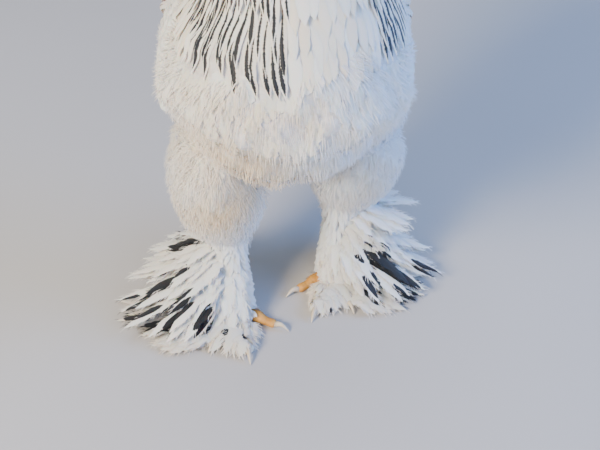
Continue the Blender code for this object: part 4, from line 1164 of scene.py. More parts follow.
def shank_rings(side):
    """Level ovals from the hock to the pad, 4 mm inside the outline of the plumage."""
    top, low = HOCK[side], PAD[side] + SHANK_END
    f = np.linspace(0, 1, 16)[:, None]
    middle = top + (low - top) * f + np.array((0, 0, 0.004)) * (1 - f)
    reach = through(SHANK_RADIUS, f[:, 0]) - 0.004
    a = circle(24)
    x = middle[:, None, 0] + reach * np.sin(a)
    y = middle[:, None, 1] - reach * 1.08 * np.cos(a)
    return np.stack([x, y, middle[:, None, 2] + 0 * x], -1) + AT


def foot_shapes(side):
    """The pad and four toes, rounded, with their undersides flat at the floor."""
    pad = ball_rings(*ball_angles(0.05, 14, circle(24)), (0.0165, 0.0175, 0.0135))
    pad = pad + (PAD[side] + np.array((0, 0.003, 0.009))) + AT
    pad[..., 2] = np.maximum(pad[..., 2], 0.0)
    shapes = [rings_mesh(pad)]
    for name in TOES:
        places, radii = toe_line(side, name, 25)
        radii[-1] *= TOE_END
        shapes.append(tube(places, radii, toe_way(side, name), 20))
    return shapes


def wing_rings(sign):
    """The low core of a folded wing: ovals over the flank, fullest in the middle."""
    middle, half, around, spread, depth = WING_CORE
    turn, a = np.linspace(0, math.pi, 17)[:, None], circle(20)[None]
    fat = np.maximum(np.sin(turn), 0.03)
    height = depth * fat * np.sin(a) - 0.012 * (np.sin(a) < 0) - 0.001
    y = middle - half * np.cos(turn) + 0 * a
    return on_torso(y, sign * np.radians(around + spread * fat * np.cos(a)), height)[0]


def hackle_tip(turned):
    """How far down the cape the neck hackle ends, turned about the upright axis: less at the front."""
    return 0.99 - 0.10 * step(math.radians(78), math.radians(34), np.abs(turned))


def throat_share(around):
    """1 in the plain white front of the neck, 0 where the hackle is striped."""
    middle, full, end = THROAT
    return step(end, full, np.abs(around - middle))


def under_hackle(points, margin=0.006):
    """Where the neck hackle lies over the body: above the ring of its tips and within its girth."""
    x, y, z = (points - AT).T
    turned = np.arctan2(x - CAPE[-2, 0], CAPE[-2, 1] - y)
    row = through(CAPE, hackle_tip(turned))
    reach = np.where(np.abs(turned) < math.pi / 2, row[:, 3], row[:, 5])
    inside = ((x - row[:, 0]) / row[:, 4]) ** 2 + ((y - row[:, 1]) / reach) ** 2 < 1.25
    throat = 0.030 * throat_share(turned - NECK_TURN)
    return inside & (z > row[:, 2] - row[:, 6] * np.cos(turned) + margin + throat)


class BRAHMA_OT_body_coat(bpy.types.Operator):
    """Soft feathers of breast, flanks, belly and back"""

    bl_idname = "brahma.body_coat"
    bl_label = "Body Coat"

    def execute(self, context):
        rng = np.random.default_rng(3)
        gap = context.scene.brahma_sizes.feather_gap
        rows = np.arange(BREAST_FRONT + 0.004, TORSO[-1, 0] - 0.004, gap * 0.80)
        y, around = rows_of(torso_point, rows, gap, rng)
        under_wing = (np.abs(y + 0.005) < 0.055) & (np.abs(np.abs(around) - 1.30) < 0.30)
        under_tail = (y > 0.185) & (np.abs(around) < 0.7)
        keep = ~(under_wing | under_tail | under_hackle(torso_point(y, around)))
        y, around = y[keep], around[keep]
        roots = torso_point(y, around)
        length = (0.027 + 0.012 * step(-0.12, 0.02, y)) * rng.uniform(0.8, 1.2, len(y))
        half = 0.0080 * rng.uniform(0.8, 1.2, len(y))
        breast_end, back_edge = -0.075, 1.2
        parts = {
            "breast": y < breast_end,
            "back": (y >= breast_end) & (np.abs(around) < back_edge),
            "flank_right": (y >= breast_end) & (around <= -back_edge),
            "flank_left": (y >= breast_end) & (around >= back_edge),
        }
        for name, on in parts.items():
            home = home_of(around[on] / TURN + 0.5, (y[on] - BREAST_FRONT) / 0.4)
            group = body_feathers(roots[on], torso_lie, length[on], half[on], 0.075, home, rng, soft=0.93,
                                  jag=0.55, stations=8)
            coat("coat_" + name, [group], "white_plumage")
        return {"FINISHED"}


class BRAHMA_OT_thighs(bpy.types.Operator):
    """Full, soft plumage of the thighs down to the hocks"""

    bl_idname = "brahma.thighs"
    bl_label = "Thigh Coat"

    def execute(self, context):
        rng = np.random.default_rng(5)
        gap = context.scene.brahma_sizes.feather_gap * 0.86
        for side in SIDES:
            rows = np.arange(0.10, 0.99, gap * 0.75 / THIGH_HEIGHT)

            def on_thigh(t, around, side=side):
                return thigh_point(side, t, around)

            t, around = rows_of(on_thigh, rows, gap, rng)
            roots = on_thigh(t, around)
            length = (0.028 - 0.007 * t) * rng.uniform(0.8, 1.25, len(t))
            half = 0.0068 * rng.uniform(0.8, 1.2, len(t))
            home = home_of(around / TURN + 0.5, t)
            group = body_feathers(roots, leg_lie, length, half, 0.13, home, rng, soft=0.9, jag=0.55,
                                  stations=7)
            coat("coat_thigh_" + side, [group], "white_plumage")
        return {"FINISHED"}


class BRAHMA_OT_hackle(bpy.types.Operator):
    """The neck hackle: long, narrow feathers striped black, plain white at the throat"""

    bl_idname = "brahma.hackle"
    bl_label = "Neck Hackle"

    def execute(self, context):
        rng = np.random.default_rng(7)
        rows = context.scene.brahma_sizes.hackle_rows
        gap = context.scene.brahma_sizes.hackle_gap
        groups = [self.row_of_hackle(row / (rows - 1), row % 2, gap, rng) for row in range(rows)]
        coat("hackle", groups, "white_plumage")
        return {"FINISHED"}

    def row_of_hackle(self, f, odd, gap, rng):
        """One row round the neck, where f is 0 for the lowest and 1 for the highest.

        Each feather runs down the cape. Its root is swung away from the front by a share of the sine of its
        place around, and its tip falls back in line. It rises from the skin to the outline of the cape, and
        no nearer to the skin than 4.8 to 6.3 mm. The stripe is plenty times its profile less the distance
        from the shaft. The throat and the ends over the right shoulder are plain.
        """
        stations, columns = 13, 7
        s, x = np.linspace(0, 1, stations), np.linspace(-1, 1, columns)
        first = 0.64 * (1 - f) + 0.01
        last = first + 0.36 * (1 - 0.35 * f)
        count = int(girth(cape_point, (first + last) / 2) / gap)
        around = wrapped((np.arange(count) + 0.5 * odd + rng.uniform(-0.3, 0.3, count)) / count * TURN)
        plain = throat_share(around)
        tip = last * hackle_tip(around + NECK_TURN) + rng.uniform(-0.055, 0.025, count)
        t = first + (tip - first)[:, None] * s
        swing = 0.38 * (1 - 0.6 * f) * np.sin(around)
        wide = around[:, None] + swing[:, None] * (1 - s)
        share = NECK_SHARE + (1.0 - NECK_SHARE) * step(0.0, 0.75, s)[None] * (0.75 + 0.3 * f)
        path, out = with_normals(lambda u, v: cape_point(u, v, share), t, wide, 0.01, 0.05, 1)
        path = path + out * (rng.uniform(0, 0.0018, count)[:, None, None] + 0.0015 * s[None, :, None])
        on, way = drape(path)
        high = ((path - on) * way).sum(-1)
        rise = step(0.0, 0.25, s)[None]
        wanted = np.maximum(high, 0.0048 + 0.0015 * f) * rise - 0.001 * (1 - rise)
        path = path + out * (wanted - high)[..., None]
        plenty = 1.10 - 0.42 * step(0.0, 0.45, f) + rng.uniform(-0.38, 0.22, count)
        stripe = np.interp(s, *HACKLE_STRIPE)
        ink = stripe[None, :, None] * plenty[:, None, None] - np.abs(x)[None, None]
        ink = np.minimum(ink * 0.9, 0.8 - 4.0 * plain[:, None, None])
        turned = wide + NECK_TURN
        shoulder = step(0.86, 0.93, t) * step(-1.02, -1.20, turned) * step(-2.4, -2.1, turned)
        ink = ink - 1.2 * shoulder[..., None]
        half = (0.0050 + 0.0006 * (1 - f) + 0.0032 * plain)[:, None] * outline("hackle", stations)[None]
        home = home_of(around / TURN + 0.5, np.full(count, first))
        return vanes(path, out, half, ink=ink, tint=rng.uniform(0.1, 0.5, count), home=home, columns=columns,
                     camber=0.3, soft=(0.55 + 0.38 * plain)[:, None, None, None], jag=0.15, rng=rng)


def on_torso(y, around, height):
    """Places at a height over the outline of the torso, with its outward directions."""
    place, out = with_normals(torso_point, y, around, 0.004, 0.05, -1)
    return place + out * height[..., None], out


class BRAHMA_OT_wings(bpy.types.Operator):
    """Folded wings: shoulder, coverts, secondaries and black primaries in tiers"""

    bl_idname = "brahma.wings"
    bl_label = "Wings"

    def execute(self, context):
        rng = np.random.default_rng(11)
        stations, columns = 11, 7
        s, x = np.linspace(0, 1, stations), np.linspace(-1, 1, columns)
        for side, sign in SIDES.items():
            groups = []
            for count, y0, y1, a0, a1, length, half, lift, dark in WING_TIERS:
                f = np.linspace(0, 1, count)
                reach = length * rng.uniform(0.95, 1.05, count)
                y = (y0 + (y1 - y0) * f)[:, None] + reach[:, None] * s
                around = np.radians(a0 + (a1 - a0) * f)[:, None] + math.radians(50) * reach[:, None] * s
                height = (lift + 0.004) * step(0, 0.30, s) * (1 - 0.12 * s**2) - 0.004
                height = height + 0.0007 * (np.arange(count) % 2)[:, None]
                path, out = on_torso(y, sign * around, height)
                wide = varied(half * outline("wing", stations), 0.92, 1.08, count, rng)
                # Across a web from -1 at its upper edge to 1 at its lower: a black feather is paler at the
                # lower edge, and a part-black one is blacker there.
                web = x[None, None] * sign
                if dark == 1:
                    ink = dark * 1.4 - 1.0 - 0.9 * step(0.3, 1.0, web)
                else:
                    ink = dark * 1.4 - 1.0 + 0.9 * dark * web
                ink = np.broadcast_to(ink, (count, stations, columns))
                home = home_of(np.broadcast_to(around[:, 0] / math.pi, count), y[:, 0] / 0.3 + 0.5)
                groups.append(vanes(path, out, wide, ink=ink, tint=rng.uniform(0.0, 0.3, count), home=home,
                                    columns=columns, camber=0.30, jag=0.20, soft=0.15, backed=True, rng=rng))
            coat("wing_feathers_" + side, groups, "white_plumage", "wing_" + side)
        return {"FINISHED"}


class BRAHMA_OT_saddle(bpy.types.Operator):
    """Saddle hackles: narrow feathers that fall from the back over the flanks"""

    bl_idname = "brahma.saddle"
    bl_label = "Saddle"

    def execute(self, context):
        rng = np.random.default_rng(13)
        stations, columns = 11, 5
        s, x = np.linspace(0, 1, stations), np.linspace(-1, 1, columns)
        rows, count = 9, 30
        groups = []
        for row, first in enumerate(np.linspace(0.176, 0.060, rows)):
            around = np.radians(np.linspace(-80, 80, count)) + rng.uniform(-0.04, 0.04, count)
            around = around + math.radians(2.6) * (row % 2)
            length = (0.050 + 0.022 * row / (rows - 1)) * rng.uniform(0.9, 1.1, count)
            y = np.minimum(first + length[:, None] * s, TORSO[-2, 0])
            fall = math.radians(30) * np.sin(around)[:, None] * s
            over_wing = 0.0115 * step(0.75, 1.05, np.abs(around))[:, None] * step(0.20, 0.10, y)
            height = 0.0015 + 0.0040 * s + over_wing * step(0, 0.4, s) + rng.uniform(0, 0.002, count)[:, None]
            height = height - 0.008 * (1 - step(0, 0.2, s))
            path, out = on_torso(y, around[:, None] + fall, height)
            wide = varied(0.0050 * outline("saddle", stations), 0.9, 1.1, count, rng)
            dark = np.interp(first, (0.10, 0.17), (-0.25, 0.10)) + rng.uniform(-0.2, 0.1, count)
            stripe = np.interp(s, *SADDLE_STRIPE)
            ink = (stripe[None, :, None] - np.abs(x)[None, None]) * 0.9 + dark[:, None, None]
            home = home_of(around / TURN + 0.5, np.full(count, first / 0.3))
            groups.append(vanes(path, out, wide, ink=ink, tint=rng.uniform(0.1, 0.4, count), home=home,
                                columns=columns, camber=0.3, jag=0.12, soft=0.45, rng=rng))
        coat("saddle", groups, "white_plumage")
        return {"FINISHED"}


class BRAHMA_OT_tail(bpy.types.Operator):
    """Tail: green-black main feathers, laced coverts and curved sickles in a ridged fan"""

    bl_idname = "brahma.tail"
    bl_label = "Tail"

    def execute(self, context):
        rng = np.random.default_rng(17)
        stations, columns = 15, 7
        s, x = np.linspace(0, 1, stations), np.linspace(-1, 1, columns)
        root = TAIL_ROOT + AT
        rise = np.array((0, math.cos(TAIL_RISE), math.sin(TAIL_RISE)))
        fall = np.array((0, math.sin(TAIL_RISE), -math.cos(TAIL_RISE)))
        groups = []
        for count, spread, length, half, curl, off, taper, black in TAIL_TIERS:
            for sign in (-1, 1):
                lower = unit(fall + np.array((sign * TAIL_TENT, 0, 0)))
                flat = unit(np.array((sign, 0, 0)) - fall * TAIL_TENT)
                f = np.linspace(0, 1, count)
                angle = 0.06 + math.radians(spread) * f + rng.uniform(-0.02, 0.02, count)
                way = rise * np.cos(angle)[:, None] + lower * np.sin(angle)[:, None]
                reach = length * (1 - 0.20 * f) * rng.uniform(0.97, 1.03, count)
                apart = off + 0.0013 * (count - 1 - np.arange(count))
                run = 0.012 + reach[:, None] * s
                sag = (curl * (1 - 0.35 * f))[:, None] * s**2
                path = (root + rise * 0.008 + flat * apart[:, None])[:, None] + way[:, None] * run[..., None]
                path = path + lower * sag[..., None]
                wide = varied(half * outline("tail", stations, taper), 0.95, 1.05, count, rng)
                edge = np.maximum(np.abs(x)[None, :], step(0.80, 1.0, s)[:, None] * 0.95)
                ink = np.broadcast_to((black - edge) * 1.2, (count, stations, columns))
                home = home_of(0.5 + sign * 0.4 * f, np.full(count, 0.1 + 0.8 * off / 0.02))
                out = np.broadcast_to(flat, path.shape)
                groups.append(vanes(path, out, wide, ink=ink, tint=rng.uniform(0, 0.2, count), home=home,
                                    columns=columns, camber=0.16, thick=0.0006, jag=0.05, soft=0.1,
                                    backed=True, rng=rng))
        coat("tail_feathers", groups, "black_plumage", "tail")
        return {"FINISHED"}


def fringe(groups, count, rng):
    """Loose barbs along the edges of webs, in the edge's own colour, that point out and towards the tip."""
    made = []
    for group in groups:
        for edge, sign in zip(group["edges"], (-1.0, 1.0)):
            n, s = edge.shape[:2]
            who = np.repeat(np.arange(n), count)
            at = rng.uniform(FRINGE_FIRST, 1.0, len(who)) * (s - 1)
            k = np.minimum(at.astype(int), s - 2)
            f = (at - k)[:, None]
            root = edge[who, k] * (1 - f) + edge[who, k + 1] * f
            lean = sign * rng.uniform(0.15, 0.75, (len(who), 1))
            way = unit(group["along"][who, k] + group["side"][who, k] * lean)
            out = group["up"][who, k]
            mark = group["top_ink"][who, k, 0 if sign < 0 else -1]
            home = group["bake"].reshape(n, -1, 2)[who, 0]
            tint = group["tint"].reshape(n, -1)[who, 0]
            length = FRINGE_LENGTH * rng.uniform(0.5, 1.2, len(who))
            root = root - way * 0.002 - out * 0.0002
            made.append(wisps(root, way, out, length, FRINGE_HALF, home, tint, droop=0.9, soft=0.2, ink=mark))
    return made


class BRAHMA_OT_foot_plumage(bpy.types.Operator):
    """Stiff fans of feathers on the outside of shanks and toes, white splashed with black"""

    bl_idname = "brahma.foot_plumage"
    bl_label = "Foot Plumage"

    def execute(self, context):
        for k, side in enumerate(SIDES):
            rng = np.random.default_rng(19 + k)
            shares = TIER_REACH[side] + (1.0,) * (len(FANS) - len(TIER_REACH[side]))
            groups = [self.shank_fan(side, fan, share, rng) for fan, share in zip(FANS, shares)]
            groups += [self.toe_fan(side, fan, rng) for fan in TOE_FANS]
            loose = fringe(groups, context.scene.brahma_sizes.fringe_count, rng)
            coat("foot_fans_" + side, groups, "white_plumage")
            coat("foot_fringe_" + side, loose, "white_plumage")
        return {"FINISHED"}

    def webs(self, side, path, out, half, home, rng):
        """Long webs with ragged ends, inked where a splash lies; feathers differ in how much they take.

        A splash is an ellipse round the pad: 1 less the squares of the distances along and across, each
        against its half size. Feathers low over the floor that point to the side are creamier.
        """
        count = len(half)
        pad = (PAD[side] + AT)[:2]
        some = rng.uniform(-0.45, 0.25, count)[:, None, None]

        def ink(points):
            off = points[..., :2] - pad
            distance = np.linalg.norm(off, axis=-1)
            angle = np.arctan2(off[..., 0] * SIDES[side], -off[..., 1]) + TOE_IN[side]
            best = np.full(distance.shape, -1.0)
            for way, reach, long, wide in SPLASHES[side]:
                turn = wrapped(angle - math.radians(way))
                along = (distance - reach) / (SPLASH_LONG * long)
                best = np.maximum(best, 1 - along**2 - (turn * distance / (SPLASH_WIDE * wide)) ** 2)
            return np.clip(1.7 * best + some, -1, 1)

        low = step(0.020, 0.006, path[:, -1, 2]) * step(0.10, 0.0, np.abs(path[:, -1, 1] - path[:, 0, 1]))
        tint = rng.uniform(0.0, 0.15, count) + 0.28 * low
        return vanes(path, out, half, ink=ink, tint=tint, home=home, columns=7, camber=0.22, thick=0.0005,
                     jag=0.50, soft=0.65, backed=True, rng=rng)

    def shank_fan(self, side, fan, share, rng):
        """One tier round a shank: arched feathers, shorter at both ends of the tier."""
        z, count, first, last, reach, tip_z, half, arch = fan
        stations = 13
        s = np.linspace(0, 1, stations)
        top, low = HOCK[side], PAD[side] + SHANK_END
        root = top + (low - top) * (top[2] - z) / (top[2] - low[2]) + AT
        f = np.linspace(0, 1, count)
        angle = np.radians(first + (last - first) * f + rng.uniform(-6, 6, count))
        way = way_of(side, angle)
        share = share * (1 - 0.42 * (1 - f) ** 3 - 0.20 * f**4)
        length = reach * FAN_REACH[side] * share * rng.uniform(0.86, 1.08, count)
        drop = (z - tip_z) * s ** 1.3 - arch * np.sin(math.pi * s)
        run = 0.008 + (length[:, None] - 0.008) * s
        path = root + way[:, None] * run[..., None]
        path[..., 2] += 0.0016 * np.where(np.arange(count) % 2, 1, -1)[:, None] - drop
        path[..., 2] = np.maximum(path[..., 2], 0.0022)
        out = np.broadcast_to(unit(UP + way * 0.5)[:, None], path.shape)
        wide = varied(half * outline("foot", stations), 0.85, 1.12, count, rng)
        home = home_of(angle / TURN + 0.5, np.full(count, z / 0.12))
        return self.webs(side, path, out, wide, home, rng)

    def toe_fan(self, side, fan, rng):
        """One row along a toe: arched feathers that lie down on the floor."""
        toe, count, share0, share1, first, last, long0, long1, half, arch = fan
        stations = 13
        s, f = np.linspace(0, 1, stations), np.linspace(0, 1, count)
        places, _ = toe_line(side, toe, 25)
        root = through(places, share0 + (share1 - share0) * f)
        angle = np.radians(first + (last - first) * f + rng.uniform(-6, 6, count))
        way = way_of(side, angle)
        length = (long0 + (long1 - long0) * f) * FAN_REACH[side] * rng.uniform(0.9, 1.06, count)
        path = root[:, None] + way[:, None] * (length[:, None] * s)[..., None]
        tip = 0.0024 + 0.0020 * (np.arange(count) % 2)[:, None]
        path[..., 2] = root[:, 2:] * (1 - s) + tip * s + arch * np.sin(math.pi * s)
        out = np.broadcast_to(UP, path.shape)
        wide = varied(half * outline("foot", stations), 0.85, 1.12, count, rng)
        home = home_of(angle / TURN + 0.5, np.full(count, 0.05))
        return self.webs(side, path, out, wide, home, rng)


def skin_centres():
    return vectors(bpy.data.objects["skin"].data.polygons, "center")


def places_on_skin(on, gap, rng):
    """Middles of skin faces where on is true, thinned to one for each cube of that size."""
    centres = skin_centres()
    centres = centres[on(centres)]
    centres = centres[rng.permutation(len(centres))]
    cells = np.floor(centres / gap).astype(int)
    _, first = np.unique(cells, axis=0, return_index=True)
    return centres[first]


class BRAHMA_OT_leg_feathers(bpy.types.Operator):
    """Small feathers that cover shank, pad and the feathered toes"""

    bl_idname = "brahma.leg_feathers"
    bl_label = "Leg Feathers"

    def execute(self, context):
        for k, (side, sign) in enumerate(SIDES.items()):
            rng = np.random.default_rng(23 + k)
            pad = PAD[side] + AT

            def feathered(p):
                own = (p[:, 0] - AT[0]) * sign > 0
                bare = on_toe(side, "inner", p, 0.014) | on_toe(side, "hind", p, 0.012)
                return own & (p[:, 2] < 0.112) & (p[:, 2] > 0.005) & ~bare

            def lie(q):
                away = unit((q + AT - pad) * np.array((1.0, 1.0, 0.0)))
                low = step(0.045, 0.018, q[:, 2])[:, None]
                return away * (0.15 + 1.6 * low) - UP * (1 - 0.75 * low)

            roots = places_on_skin(feathered, 0.0052, rng)
            length = (0.014 + 0.008 * step(0.02, 0.06, roots[:, 2])) * rng.uniform(0.8, 1.2, len(roots))
            half = 0.0036 * rng.uniform(0.8, 1.2, len(roots))
            turn = np.arctan2(roots[:, 0] - pad[0], roots[:, 1] - pad[1])
            home = home_of(turn / TURN + 0.5, roots[:, 2] / 0.12)
            group = body_feathers(roots, lie, length, half, 0.24, home, rng, stations=7, columns=3, jag=0.3)
            coat("leg_feathers_" + side, [group], "white_plumage")
        return {"FINISHED"}


class BRAHMA_OT_head_feathers(bpy.types.Operator):
    """The smallest feathers, on crown, nape and throat"""

    bl_idname = "brahma.head_feathers"
    bl_label = "Head Feathers"

    def execute(self, context):
        rng = np.random.default_rng(29)

        def feathered(p):
            h = in_head(p)
            behind = h[:, 1] - 0.25 * h[:, 2] > 0.0065
            throat = (h[:, 2] < -0.0165) & (h[:, 1] > -0.012)
            near = (np.linalg.norm(h, axis=1) < 0.058) & (h[:, 2] > -0.048)
            return near & (behind | throat)

        def lie(q):
            c, s = math.cos(HEAD_TURN), math.sin(HEAD_TURN)
            return np.array((-s, c, -0.75)) + 0 * q

        roots = places_on_skin(feathered, 0.0026, rng)
        h = in_head(roots)
        low = step(-0.010, -0.040, h[:, 2])
        length = 0.0080 + 0.005 * step(0.0, 0.03, h[:, 1]) + 0.008 * low
        length = length * rng.uniform(0.75, 1.25, len(roots))
        half = (0.0015 + 0.0010 * low) * rng.uniform(0.8, 1.2, len(roots))
        home = home_of(np.arctan2(h[:, 0], h[:, 2]) / TURN + 0.5, (h[:, 1] + 0.05) / 0.1)
        group = body_feathers(roots, lie, length, half, 0.26, home, rng, stations=6, columns=3, jag=0.3,
                              soft=0.5, lift=0.0002)
        coat("head_feathers", [group], "white_plumage")
        return {"FINISHED"}


class BRAHMA_OT_down(bpy.types.Operator):
    """Loose barbs that break the outline of breast, belly and thighs"""

    bl_idname = "brahma.down"
    bl_label = "Down"

    def execute(self, context):
        rng = np.random.default_rng(31)
        many = context.scene.brahma_sizes.down_count
        centres = skin_centres()
        q = centres - AT
        open_coat = ~under_hackle(centres, -0.006)
        regions = {
            "body": (q[:, 2] > 0.20) & (q[:, 2] < 0.42) & (q[:, 1] < 0.21) & open_coat,
            "legs": (q[:, 2] > 0.095) & (q[:, 2] < 0.26),
        }
        for name, on in regions.items():
            pool = centres[on]
            roots = pool[rng.integers(0, len(pool), many)] + rng.uniform(-0.0015, 0.0015, (many, 3))
            place, out = drape(roots)
            lie = torso_lie if name == "body" else leg_lie
            way = tangent(lie(place - AT) + rng.normal(0, 0.25, place.shape), out)
            depth = 0.0045 if name == "body" else 0.0060
            length = rng.uniform(0.007, 0.013, many)
            around = np.arctan2(place[:, 0] - AT[0], place[:, 2] - 0.33)
            home = home_of(around / TURN + 0.5, (place[:, 1] - AT[1] + 0.18) / 0.42)
            group = wisps(place + out * depth, way, out, length, DOWN_HALF, home, body_cream_and_warm_light(place))
            coat("down_" + name, [group], "white_plumage")
        return {"FINISHED"}


class BRAHMA_OT_comb(bpy.types.Operator):
    """Pea comb, wattles and ear lobes"""

    bl_idname = "brahma.comb"
    bl_label = "Comb and Wattles"

    def execute(self, context):
        f, x = np.meshgrid(np.linspace(0, 1, 90), np.linspace(-1, 1, 45), indexing="ij")
        y = COMB["front"] + (COMB["back"] - COMB["front"]) * f
        swell = np.sin(math.pi * np.clip(f, 0.002, 0.998)) ** 0.6
        ground = 0.0135 + 0.0075 * np.sin(math.pi * np.minimum(f * 1.15, 1.0) * 0.55)
        tooth = 0.60 + 0.40 * np.abs(np.cos(math.pi * (COMB["points"] * f - 0.5))) ** 0.8
        crest = COMB["middle"] * bell(x, 0, 0.26)
        crest = crest + COMB["outer"] * (bell(x, -0.72, 0.19) + bell(x, 0.72, 0.19))
        rise = (crest * tooth + 0.0025) * swell * (1 - np.abs(x) ** 8)
        top = np.stack([COMB["half"] * swell * x, y, ground + rise], -1)
        under = np.stack([COMB["half"] * swell * x * 0.7, y, ground - 0.006], -1)[:, ::-1]
        rings = head_point(np.concatenate([top, under], 1))
        comb = placed("pea_comb", build_mesh("pea_comb", *rings_mesh(rings)))
        finished(comb, material("flesh"), "red_skin", "comb")
        for side, sign in SIDES.items():
            self.wattle(side, sign)
            self.lobe(side, sign)
        return {"FINISHED"}

    def wattle(self, side, sign):
        """A flap: half width a sine down it, thickness a sine round it, folds a sine across it."""
        f, a = np.meshgrid(np.linspace(0, 1, 40), circle(56), indexing="ij")
        half = WATTLE["half"] * np.sin(math.pi * (0.30 + 0.68 * f)) + 0.0008
        along = half * np.cos(a)
        fold = WATTLE["fold"] * np.sin(3 * math.pi * along / WATTLE["half"]) * f
        thick = WATTLE["thick"] * (1 - 0.35 * f) * np.sin(a) + fold + 0.003 * f
        wrinkle = 0.0003 * np.sin(2200 * along + 5 * np.sin(9 * f)) * np.sign(np.sin(a)) * step(0, 0.2, f)
        x = (WATTLE["top"][0] + thick + wrinkle) * sign
        rings = np.stack([x, WATTLE["top"][1] + along, WATTLE["top"][2] - WATTLE["drop"] * f], -1)
        flap = placed("wattle_flap_" + side, build_mesh("wattle", *rings_mesh(head_point(rings))))
        finished(flap, material("flesh"), "red_skin", "wattle_" + side)

    def lobe(self, side, sign):
        """An ellipsoid with shallow upright folds."""
        a, b = ball_angles(0.04, 40, circle(56))
        ball = ball_rings(a, b, (1, 1, 1))
        ball[..., 0] *= 1 + 0.10 * np.sin(5 * b + 2 * np.cos(a)) * np.sin(a) ** 2
        rings = (ball * LOBE_RADII + LOBE_AT) * np.array((sign, 1, 1))
        lobe = placed("ear_lobe_" + side, build_mesh("lobe", *rings_mesh(head_point(rings))))
        finished(lobe, material("flesh"), "red_skin", "earlobe_" + side)


class BRAHMA_OT_beak(bpy.types.Operator):
    """Both halves of the beak, yellow with a dark stripe along the ridge, and painted shade in the nostrils
    """

    bl_idname = "brahma.beak"
    bl_label = "Beak"

    def execute(self, context):
        for name, rows in (("beak_upper", BEAK_UPPER), ("beak_lower", BEAK_LOWER)):
            rings = egg_rings(rows, 60, 56)
            if name == "beak_upper":
                side = np.abs(rings[..., 0])
                r = self.from_nostril(rings, 0.0030, 0.0011)
                dent = bell(r, 0, 0.9) * 0.0018 - bell(r, 1.7, 0.5) * 0.0004
                rings[..., 0] -= np.sign(rings[..., 0]) * dent * step(0.002, 0.004, side)
            points, faces = rings_mesh(head_point(rings))
            mesh = build_mesh(name, points, faces)
            h = in_head(points)
            ridge = bell(h[:, 0], 0, 0.0035) * step(-0.004, 0.004, h[:, 2] + 0.35 * (-0.03 - h[:, 1]))
            # Painted shade: the nostrils, which are only shallow dents, are darkened as the shade inside deep
            # holes would darken them.
            nostril_shade = bell(self.from_nostril(h, 0.0028, 0.0010), 0, 0.8) * (np.abs(h[:, 0]) > 0.003)
            dark = 0.75 * ridge * step(-0.058, -0.045, h[:, 1]) + nostril_shade * (name == "beak_upper")
            set_value(mesh, "stripe", np.clip(dark, 0, 1))
            finished(placed(name + "_horn", mesh), material("beak"), "beak_horn", name)
        return {"FINISHED"}

    def from_nostril(self, h, long, tall):
        """Distance from the nostril, in its half lengths along the beak and half heights up it."""
        return np.hypot((h[..., 1] - NOSTRIL_AT[1]) / long, (h[..., 2] - NOSTRIL_AT[2]) / tall)


class BRAHMA_OT_eyes(bpy.types.Operator):
    """Eyeballs with orange-bay irises"""

    bl_idname = "brahma.eyes"
    bl_label = "Eyes"

    def execute(self, context):
        for side, sign in SIDES.items():
            a, b = ball_angles(0.001, 60, circle(64))
            clear = 1 + 0.05 * bell(a, 0, 0.55)
            ball = np.stack([np.cos(a) * clear, np.sin(a) * np.cos(b), np.sin(a) * np.sin(b)], -1)
            turned = np.array((sign, 1, 1))
            points, faces = rings_mesh(head_point((ball * EYE_RADIUS + EYE_AT) * turned))
            mesh = build_mesh("eyeball", points, faces)
            off = in_head(points) - EYE_AT * turned
            angle = np.arccos(np.clip(unit(off)[:, 0] * sign, -1, 1))
            set_value(mesh, "reach", np.minimum(angle / math.radians(50), 1.5))
            finished(placed("eyeball_" + side, mesh), material("eye"), "eye", "eye_" + side)
        return {"FINISHED"}


class BRAHMA_OT_claws(bpy.types.Operator):
    """A curved claw on each toe"""

    bl_idname = "brahma.claws"
    bl_label = "Claws"

    def execute(self, context):
        for side in SIDES:
            for name, (_, _, length) in TOES.items():
                places, radii = toe_line(side, name, 7)
                way = toe_way(side, name)
                low = 0.0 if name == "hind" else 0.0012
                start = places[-1] - way * 0.002
                f = np.linspace(0, 1, 24)
                radius = radii[-1] * TOE_END * 0.80 * (1 - f) ** 0.70 + 0.0003
                rise = 0.0040 * np.sin(math.pi * f) - (start[2] - low) * f ** 1.8
                middle = start + way * ((length + 0.002) * f)[:, None] + UP * rise[:, None]
                points, faces = tube(middle, radius, way, 24, tall=1.15)
                mesh = build_mesh("claw", points, faces)
                run = (points - start) @ way
                set_value(mesh, "stripe", 0.35 * step(0.006, 0.0, run))
                node = "claw_%s_%s" % (side, name)
                finished(placed("nail_%s_%s" % (side, name), mesh), material("claw"), "claw_horn", node)
        return {"FINISHED"}


